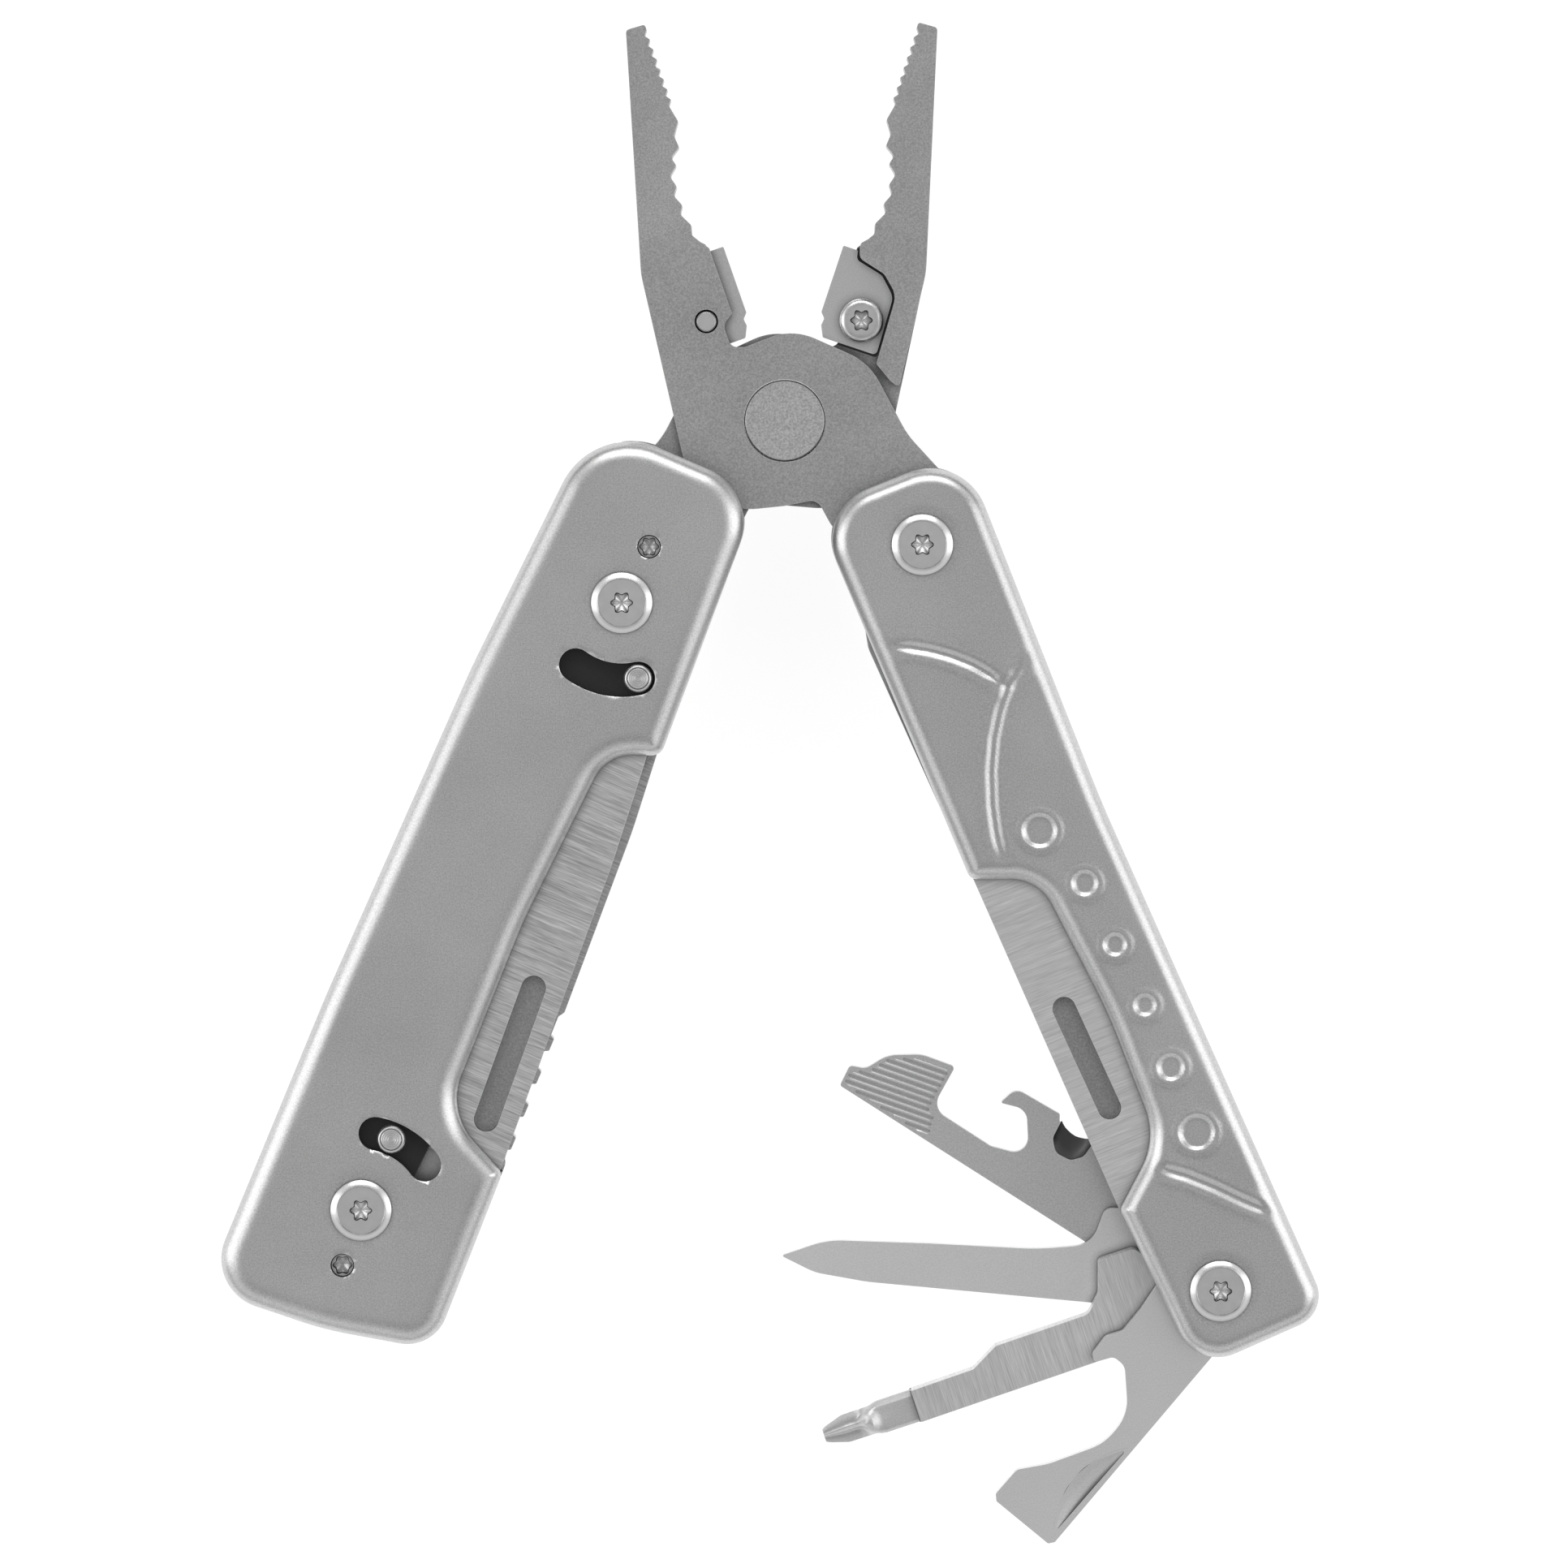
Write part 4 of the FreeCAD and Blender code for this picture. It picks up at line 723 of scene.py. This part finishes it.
# rings of turned parts: radius, share of the six lobes, height, and shade
BIG_HEAD = [
    (3.40, 0.0, 10.00, BRIGHT), (3.40, 0.0, 10.10, BRIGHT), (3.34, 0.0, 10.16, BRIGHT),
    (2.74, 0.0, 10.47, BRIGHT), (2.68, 0.0, 10.48, BRIGHT), (2.62, 0.0, 10.42, BRIGHT),
    (2.20, 0.0, 10.42, BRIGHT), (1.60, 0.05, 10.42, BRIGHT), (1.10, 0.16, 10.42, BRIGHT),
    (1.01, 0.16, 10.34, PAINTED_SHADE), (0.96, 0.16, 9.90, PAINTED_SHADE), (0.86, 0.14, 9.86, BRIGHT),
    (0.45, 0.1, 9.76, BRIGHT), (0.08, 0.0, 9.60, BRIGHT),
]
SMALL_HEAD = [
    (1.27, 0.0, 8.95, BRIGHT), (1.27, 0.0, 9.42, BRIGHT), (1.20, 0.0, 9.50, BRIGHT),
    (0.99, 0.12, 9.50, BRIGHT), (0.93, 0.13, 9.42, PAINTED_SHADE), (0.88, 0.13, 8.75, PAINTED_SHADE),
    (0.80, 0.10, 8.72, BRIGHT), (0.40, 0.0, 8.66, BRIGHT), (0.08, 0.0, 8.50, BRIGHT),
]


def add_big_head(shape, place, spot, side, shank, shank_end):
    """Large head with a six-lobe recess, on a shank that reaches down to shank_end."""
    rings = [(shank, 0.0, shank_end, BRIGHT), (shank, 0.0, 10.0, BRIGHT)] + BIG_HEAD
    shape.turned(place.row(*spot, 0.0), side, rings)


def build_handle_screws():
    """Left handle: three large heads and four small ones. Right handle: four large heads."""
    steels = [SCREW_STEEL, PAINTED_SHADE_STEEL]
    for name, spot, side in (("upper_lock_screw", LEFT_SCREWS[0], 1),
                             ("knife_pivot_screw", LEFT_SCREWS[1], 1),
                             ("serrated_pivot_screw", LEFT_SCREWS[1], -1)):
        shape = Shape()
        add_big_head(shape, LEFT, spot, side, 2.3, 4.3)
        shape.finish(name + "_drive", steels, "left_handle", [name])
    shape = Shape()
    for spot in RIGHT_SCREWS:
        for side in (1, -1):
            add_big_head(shape, RIGHT, spot, side, 1.5, 6.4)
    shape.finish("right_screws_drive", steels, "right_handle",
                 ["right_handle_screws"])
    shape = Shape()
    for spot in LEFT_SMALL_SCREWS:
        for side in (1, -1):
            rings = [(0.8, 0.0, 6.0, BRIGHT), (0.8, 0.0, 8.95, BRIGHT)] + SMALL_HEAD
            shape.turned(LEFT.row(*spot, 0.0), side, rings)
    shape.finish("left_screws_drive", [SOCKET_STEEL, PAINTED_SHADE_STEEL], "left_handle",
                 ["left_handle_screws"])


def node_middle(name):
    """Centre of a node in plan, with its lowest and highest point in metres."""
    low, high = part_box(name)
    return ((low[0] + high[0]) / 2, (low[1] + high[1]) / 2, low[2], high[2])


def build_cutter_screws():
    """Button-head screws through the jaws; the far end shows as a bevelled disc."""
    for name, side, body in (("front_cutter_screw", -1, "front_pliers"),
                             ("rear_cutter_screw", 1, "rear_pliers")):
        x, y, low, high = node_middle(name)
        length = (high - low) / MM
        start = (x, y, low if side > 0 else high)
        rings = [
            (0.98, 0.0, 0.0, BRIGHT), (1.14, 0.0, 0.10, BRIGHT), (1.16, 0.0, 0.22, BRIGHT),
            (1.27, 0.0, 0.30, PAINTED_SHADE), (1.27, 0.0, length - 1.2, PAINTED_SHADE),
            (2.45, 0.0, length - 1.2, BRIGHT), (2.45, 0.0, length - 0.60, BRIGHT),
            (2.38, 0.0, length - 0.38, BRIGHT), (2.22, 0.0, length - 0.17, BRIGHT),
            (1.95, 0.0, length - 0.05, BRIGHT), (1.60, 0.05, length, BRIGHT),
            (1.10, 0.16, length, BRIGHT), (1.01, 0.16, length - 0.08, PAINTED_SHADE),
            (0.96, 0.16, length - 0.50, PAINTED_SHADE), (0.45, 0.10, length - 0.60, BRIGHT),
            (0.08, 0.0, length - 0.75, BRIGHT),
        ]
        shape = Shape()
        shape.turned(start, side, rings)
        shape.finish(name + "_drive", [SCREW_STEEL, PAINTED_SHADE_STEEL], body, [name])


def build_lock_pins():
    """Thumb pins with a raised rim, a ring of painted shade inside it, and turning rings on the
    face.
    """
    for name in ("upper_lock", "knife_lock", "serrated_lock"):
        x, y, low, high = node_middle(name + "_pin")
        side = -1 if name == "serrated_lock" else 1
        length = (high - low) / MM
        rings = [(1.55, 0.0, 0.0, BRIGHT), (1.55, 0.0, length - 0.26, BRIGHT),
                 (1.42, 0.0, length - 0.04, BRIGHT), (1.32, 0.0, length, BRIGHT),
                 (1.22, 0.0, length, BRIGHT), (1.16, 0.0, length - 0.09, PAINTED_SHADE)]
        for k in range(1, 9):
            rings.append((1.14 - 0.12 * k, 0.0, length - 0.07 + 0.03 * (k % 2), BRIGHT))
        shape = Shape()
        shape.turned((x, y, low if side > 0 else high), side, rings)
        shape.finish(name + "_pin_turned", [PIN_STEEL, PAINTED_SHADE_STEEL], name,
                     [name + "_pin"], sharp=20.0)


def build_rivet():
    """Pivot rivet ground flush with both jaw halves; a line of painted shade shows the fit."""
    centre = Vector(JOINTS["jaw_pivot"]["pos_m"])
    rings = []
    for sign in (-1, 1):
        rim = [(4.34, 0.0, 4.0 * sign, BRIGHT), (4.42, 0.0, 3.93 * sign, BRIGHT),
               (4.54, 0.0, 3.80 * sign, PAINTED_SHADE)]
        rings += [(2.0, 0.0, -4.0, BRIGHT)] + rim if sign < 0 else rim[::-1]
    rings.append((2.0, 0.0, 4.0, BRIGHT))
    shape = Shape()
    shape.turned(centre, 1, rings, count=96)
    shape.finish("jaw_rivet_ground", [RIVET_STEEL, PAINTED_SHADE_STEEL], "front_pliers",
                 ["jaw_rivet"])


# ------------------------------------------------------------ details of the blades


def slot_outline(x1, y1, x2, y2, half, cap=12):
    """Straight slot between two points, with round ends."""
    along = math.atan2(y2 - y1, x2 - x1)
    points = []
    for x, y, begin in ((x2, y2, -math.pi / 2), (x1, y1, math.pi / 2)):
        for k in range(cap + 1):
            angle = along + begin + math.pi * k / cap
            points.append((x + half * math.cos(angle), y + half * math.sin(angle)))
    return np.array(points)


def build_groove_floor(name, place, slot, face, depth, body):
    """Hollow-ground floor of a nail groove, deepest along its middle line, darker as painted
    shade.
    """
    x1, y1, x2, y2, half = slot
    shape = Shape()
    rows = []
    for share, drop in ((0.99, 0.15), (0.97, 0.82), (0.75, 0.9), (0.2, 0.96)):
        ring = slot_outline(x1, y1, x2, y2, half * share)
        rows.append([place.row(x, y, face - depth * drop) for x, y in ring])
    made = shape.loft(rows, [0] * len(rows), caps=False)
    shape.bm.faces.new(made[-1])
    shape.finish(name, [GROOVE_SHADE_STEEL], body, sharp=60.0, upward=True)


BLADE_FACE = 7.8


def build_groove_floors():
    build_groove_floor("knife_groove", KNIFE, (7.95, 30.2, 8.85, 14.6, 1.38), BLADE_FACE, 1.0,
                       "knife_part")
    build_groove_floor("saw_groove", SAW, (-4.5, 35.6, -3.9, 23.4, 1.3), BLADE_FACE, 1.0,
                       "saw_part")


OPENER_OUTLINE = [
    (-4.9, 47.4), (-4.4, 8.0), (-4.3, -4.3), (4.4, -4.3), (4.6, 8.0), (6.5, 14.0), (6.3, 19.6),
    (5.4, 20.3), (4.75, 22.1), (5.2, 24.4), (6.0, 24.9), (5.7, 30.6), (3.4, 31.2), (4.4, 28.3),
    (0.1, 25.2), (-1.3, 29.4), (-1.35, 37.3), (4.0, 37.7), (3.1, 41.6), (0.9, 44.8),
    (-1.7, 46.0), (-2.4, 47.7),
]
OPENER_TOP = -2.72
RIB_SPACING = 0.75
RIB_LEAN = math.radians(14.0)
RIB_RISE = 0.035
RIB_ROOT = -0.03


def build_opener_ribs():
    """Raised lines between the shallow grooves of the scraper end, in the lighter tool steel as a
    painted highlight.
    """
    shape = Shape()
    outline = np.array(OPENER_OUTLINE)
    across = np.array((math.cos(RIB_LEAN), math.sin(RIB_LEAN)))
    along = np.array((-math.sin(RIB_LEAN), math.cos(RIB_LEAN)))
    for i in range(-14, 15):
        base = np.array((-1.0, 41.0)) + RIB_SPACING * (i + 0.5) * across
        line = np.array([base + along * 0.1 * k for k in range(-120, 121)])
        keep = inside(line, outline) & (distance_to(line, outline) > 0.4)
        keep &= line[:, 1] > 37.2 + 0.27 * line[:, 0]
        line = line[keep]
        if len(line) < 12:
            continue
        start, end = line[0], line[-1]
        rows = []
        for share, rise in ((0.0, RIB_ROOT), (0.05, RIB_RISE), (0.95, RIB_RISE), (1.0, RIB_ROOT)):
            middle = start + (end - start) * share
            profile = ((-0.1, RIB_ROOT), (-0.03, rise), (0.03, rise), (0.1, RIB_ROOT))
            rows.append([OPENER.row(*(middle + across * step), OPENER_TOP + level)
                         for step, level in profile])
        shape.loft(rows, [0] * 4)
    # lighter steel than the opener's own: painted highlight along each rib
    shape.finish("opener_rib_lines", [TOOL_STEEL], "opener_part")


# wall of the notch, along its upper and its lower edge
NOTCH_TOP = [(5.3, 24.35), (4.2, 24.3), (3.3, 24.0), (2.55, 23.4), (2.2, 22.5), (2.25, 21.5),
             (2.7, 20.7), (3.6, 20.1), (4.6, 20.0), (5.5, 20.15)]
NOTCH_LOW = [(5.45, 24.2), (5.25, 23.9), (5.05, 23.5), (4.92, 23.0), (4.85, 22.5), (4.85, 22.0),
             (4.95, 21.5), (5.1, 21.1), (5.3, 20.75), (5.5, 20.5)]


def build_notch_bevel():
    """Countersunk wall of the stripping notch in the opener, in a near-black steel as painted
    shade.
    """
    shape = Shape()
    rows = []
    for share in (0.0, 0.15, 0.4, 0.7, 1.0):
        drop = 0.95 * share ** 0.6
        rows.append([OPENER.row(x1 + (x2 - x1) * share, y1 + (y2 - y1) * share,
                                OPENER_TOP - 0.02 - drop)
                     for (x1, y1), (x2, y2) in zip(NOTCH_TOP, NOTCH_LOW)])
    shape.loft(rows, [0] * len(rows), closed=False, caps=False)
    shape.finish("opener_notch_bevel", [NOTCH_SHADE_STEEL], "opener_part",
                 sharp=60.0, upward=True)


FLAT_TOP = 4.12


def build_nail_nick():
    """Scoop ground into the flat driver: gentle on one side, steep on the other."""
    shape = Shape()
    rows = []
    steps = 24
    for k in range(steps + 1):
        share = k / steps
        north = 20.5 + 12.6 * share
        wall = -3.88 + 0.28 * share
        bulge = 2.35 * math.sin(math.pi * share) ** 0.75
        deep = 0.5 * math.sin(math.pi * share)
        row = []
        for j in range(9):
            across = j / 8
            row.append(FLAT_DRIVER.row(wall + bulge * (1 - across), north,
                                       FLAT_TOP + 0.005 - deep * across ** 1.4))
        rows.append(row)
    shape.loft(rows, [0] * len(rows), closed=False, caps=False)
    shape.finish("flat_driver_nick", [TOOL_STEEL], "flat_part",
                 sharp=60.0, upward=True)


PHILLIPS_OUTLINE = [
    (-4.3, 36.4, 0.1), (-4.05, 14.0, 0), (-4.05, -4.2, 3.9), (4.3, -4.2, 3.9), (4.9, 6.2, 2),
    (6.7, 7.6, 0.8), (6.7, 11.8, 0.5), (3.1, 13.0, 1.0), (1.3, 14.8, 1.2), (1.2, 25.8, 0.6),
    (-0.5, 29.0, 0.6), (-0.6, 36.4, 0.1),
]
PHILLIPS_TOP = 2.34
PHILLIPS_SHEET = 3.3
POINT_AXIS = -2.48
TANG_SHADE, POINT_SHADE, STEP_SHADE = 0, 1, 2
# ground shank: across, height, with a wide flat on each side
SHANK = [(1.87, 0.0), (1.87, 0.42), (1.25, 1.0), (0.4, 1.0), (-0.6, 1.0), (-1.45, 1.0),
         (-1.82, 0.7), (-1.87, 0.0)]


def shank_reach(angle):
    """Distance from the axis to the shank's skin in a direction."""
    half = SHANK + [(x, -z) for x, z in reversed(SHANK[1:-1])]
    dx, dz = math.cos(angle), math.sin(angle)
    best = 1.0
    for i in range(len(half)):
        x1, z1 = half[i - 1]
        x2, z2 = half[i]
        cross = dx * (z2 - z1) - dz * (x2 - x1)
        if abs(cross) < 1e-9:
            continue
        reach = (x1 * (z2 - z1) - z1 * (x2 - x1)) / cross
        share = (x1 * dz - z1 * dx) / cross
        if reach > 0 and -1e-6 <= share <= 1 + 1e-6:
            best = reach
    return best


def point_radius(north):
    """Radius of the cross point along the driver."""
    return float(np.interp(north, (41.4, 42.4, 44.8, 46.9, 47.3), (1.62, 1.62, 1.6, 0.95, 0.72)))


def build_phillips():
    """Flat tang, ground shank and a cross point with four flutes."""
    shape = Shape()
    shape.plate(PHILLIPS, rounded(PHILLIPS_OUTLINE, 1.0), [circle(0, 0, 2.36)],
                PHILLIPS_TOP, PHILLIPS_TOP - PHILLIPS_SHEET)
    middle = PHILLIPS_TOP - PHILLIPS_SHEET / 2
    count = 96
    rows = []
    stations = [36.2, 38.0, 40.4, 41.0, 41.3, 41.6]
    stations += [41.6 + 0.3 * k for k in range(1, 19)] + [47.3]
    for north in stations:
        row = []
        for i in range(count):
            angle = 2 * math.pi * i / count
            blend = smooth_step(north, 40.6, 41.7)
            flute = 0.62 * smooth_step(north, 41.7, 43.6)
            wing = 1 - flute * min(1.0, abs(math.sin(2 * angle)) * 1.5) ** 0.8
            reach = (1 - blend) * shank_reach(angle) + blend * point_radius(north) * wing
            row.append(PHILLIPS.row(POINT_AXIS + reach * math.cos(angle), north,
                                    middle + reach * math.sin(angle)))
        rows.append(row)
    shape.loft(rows, [TANG_SHADE if north < 36.5 else POINT_SHADE for north in stations])
    # the slanted step faces take the darker groove steel: painted shade
    for side in (1, -1):
        step = [(36.0, 1.655), (36.45, 1.3), (36.6, 0.9)]
        shape.loft([[PHILLIPS.row(x, north, middle + side * rise) for x in (-4.29, -0.6)]
                    for north, rise in step], [STEP_SHADE] * 3, closed=False, caps=False)
    piece = shape.finish("phillips_driver_ground", [PHILLIPS_STEEL, POINT_STEEL, GROOVE_SHADE_STEEL],
                         "phillips_part", ["phillips_driver"], sharp=28.0)
    soften(piece, 0.1, 60, segments=1)


# ------------------------------------------------------------ studio


def pale_floor():
    """Large sheet that gives its own light, so that the tool lies on near white."""
    mesh = bpy.data.meshes.new("floor")
    mesh.from_pydata([(-2, -2, 0), (2, -2, 0), (2, 2, 0), (-2, 2, 0)], [], [(0, 1, 2, 3)])
    floor = add_object("floor", mesh)
    n = Nodes("floor_paper")
    n.shader.inputs["Base Color"].default_value = (0.2, 0.2, 0.2, 1)
    n.shader.inputs["Roughness"].default_value = 0.9
    n.shader.inputs["Specular IOR Level"].default_value = 0.1
    n.shader.inputs["Emission Color"].default_value = (1, 1, 1, 1)
    n.shader.inputs["Emission Strength"].default_value = 0.9
    mesh.materials.append(n.material)


def soft_studio():
    """Pale walls under a greyer ceiling, with the far wall darker low down."""
    world = bpy.data.worlds.new("studio")
    bpy.context.scene.world = world
    n = NodeTree(world)
    output = n.add("ShaderNodeOutputWorld")
    background = n.add("ShaderNodeBackground")
    background.inputs["Strength"].default_value = 1.5
    n.link(background.outputs["Background"], output.inputs["Surface"])
    coordinates = n.add("ShaderNodeTexCoord")
    split = n.add("ShaderNodeSeparateXYZ")
    n.link(coordinates.outputs["Generated"], split.inputs["Vector"])
    ramp = n.add("ShaderNodeValToRGB")
    n.link(split.outputs["Z"], ramp.inputs["Fac"])
    far_side = n.spread(split.outputs["Y"], 0.35, 0.8, 0.0, 1.0)
    near_horizon = n.spread(split.outputs["Z"], 0.42, 0.2, 0.0, 1.0)
    shade = n.math(far_side, near_horizon, "MULTIPLY")
    keep = n.math(n.math(shade, -0.8, "MULTIPLY"), 1.0)
    dim = n.add("ShaderNodeVectorMath", operation="SCALE")
    n.link(ramp.outputs["Color"], dim.inputs[0])
    n.link(keep, dim.inputs["Scale"])
    n.link(dim.outputs["Vector"], background.inputs["Color"])
    levels = [(0.0, 0.16), (0.08, 0.2), (0.3, 0.52), (0.55, 0.6), (0.72, 0.36), (0.86, 0.2),
              (0.95, 0.27), (1.0, 0.38)]
    stops = ramp.color_ramp.elements
    while len(stops) < len(levels):
        stops.new(0.5)
    for stop, (position, level) in zip(stops, levels):
        stop.position = position
        stop.color = (level, level, level, 1)


def side_lamp(name, place, size, power):
    """Soft box aimed at the middle of the tool."""
    data = bpy.data.lights.new(name, "AREA")
    data.shape = "RECTANGLE"
    data.size = size[0]
    data.size_y = size[1]
    data.energy = power
    lamp = add_object(name, data)
    lamp.location = place
    lamp.rotation_euler = (-Vector(place)).to_track_quat("-Z", "Y").to_euler()


for name, thing in NODES.items():
    finish_cad_node(name, thing)
build_covers()
build_handle_screws()
build_cutter_screws()
build_lock_pins()
build_rivet()
build_groove_floors()
build_opener_ribs()
build_notch_bevel()
build_nail_nick()
build_phillips()
pale_floor()
soft_studio()
side_lamp("left_panel", (-0.75, 0.05, 0.45), (0.5, 0.9), 1.8)
side_lamp("right_panel", (0.75, 0.05, 0.45), (0.5, 0.9), 1.8)
side_lamp("top_panel", (0.0, 0.85, 0.60), (0.9, 0.4), 3.2)
bpy.context.scene.view_settings.view_transform = "Standard"
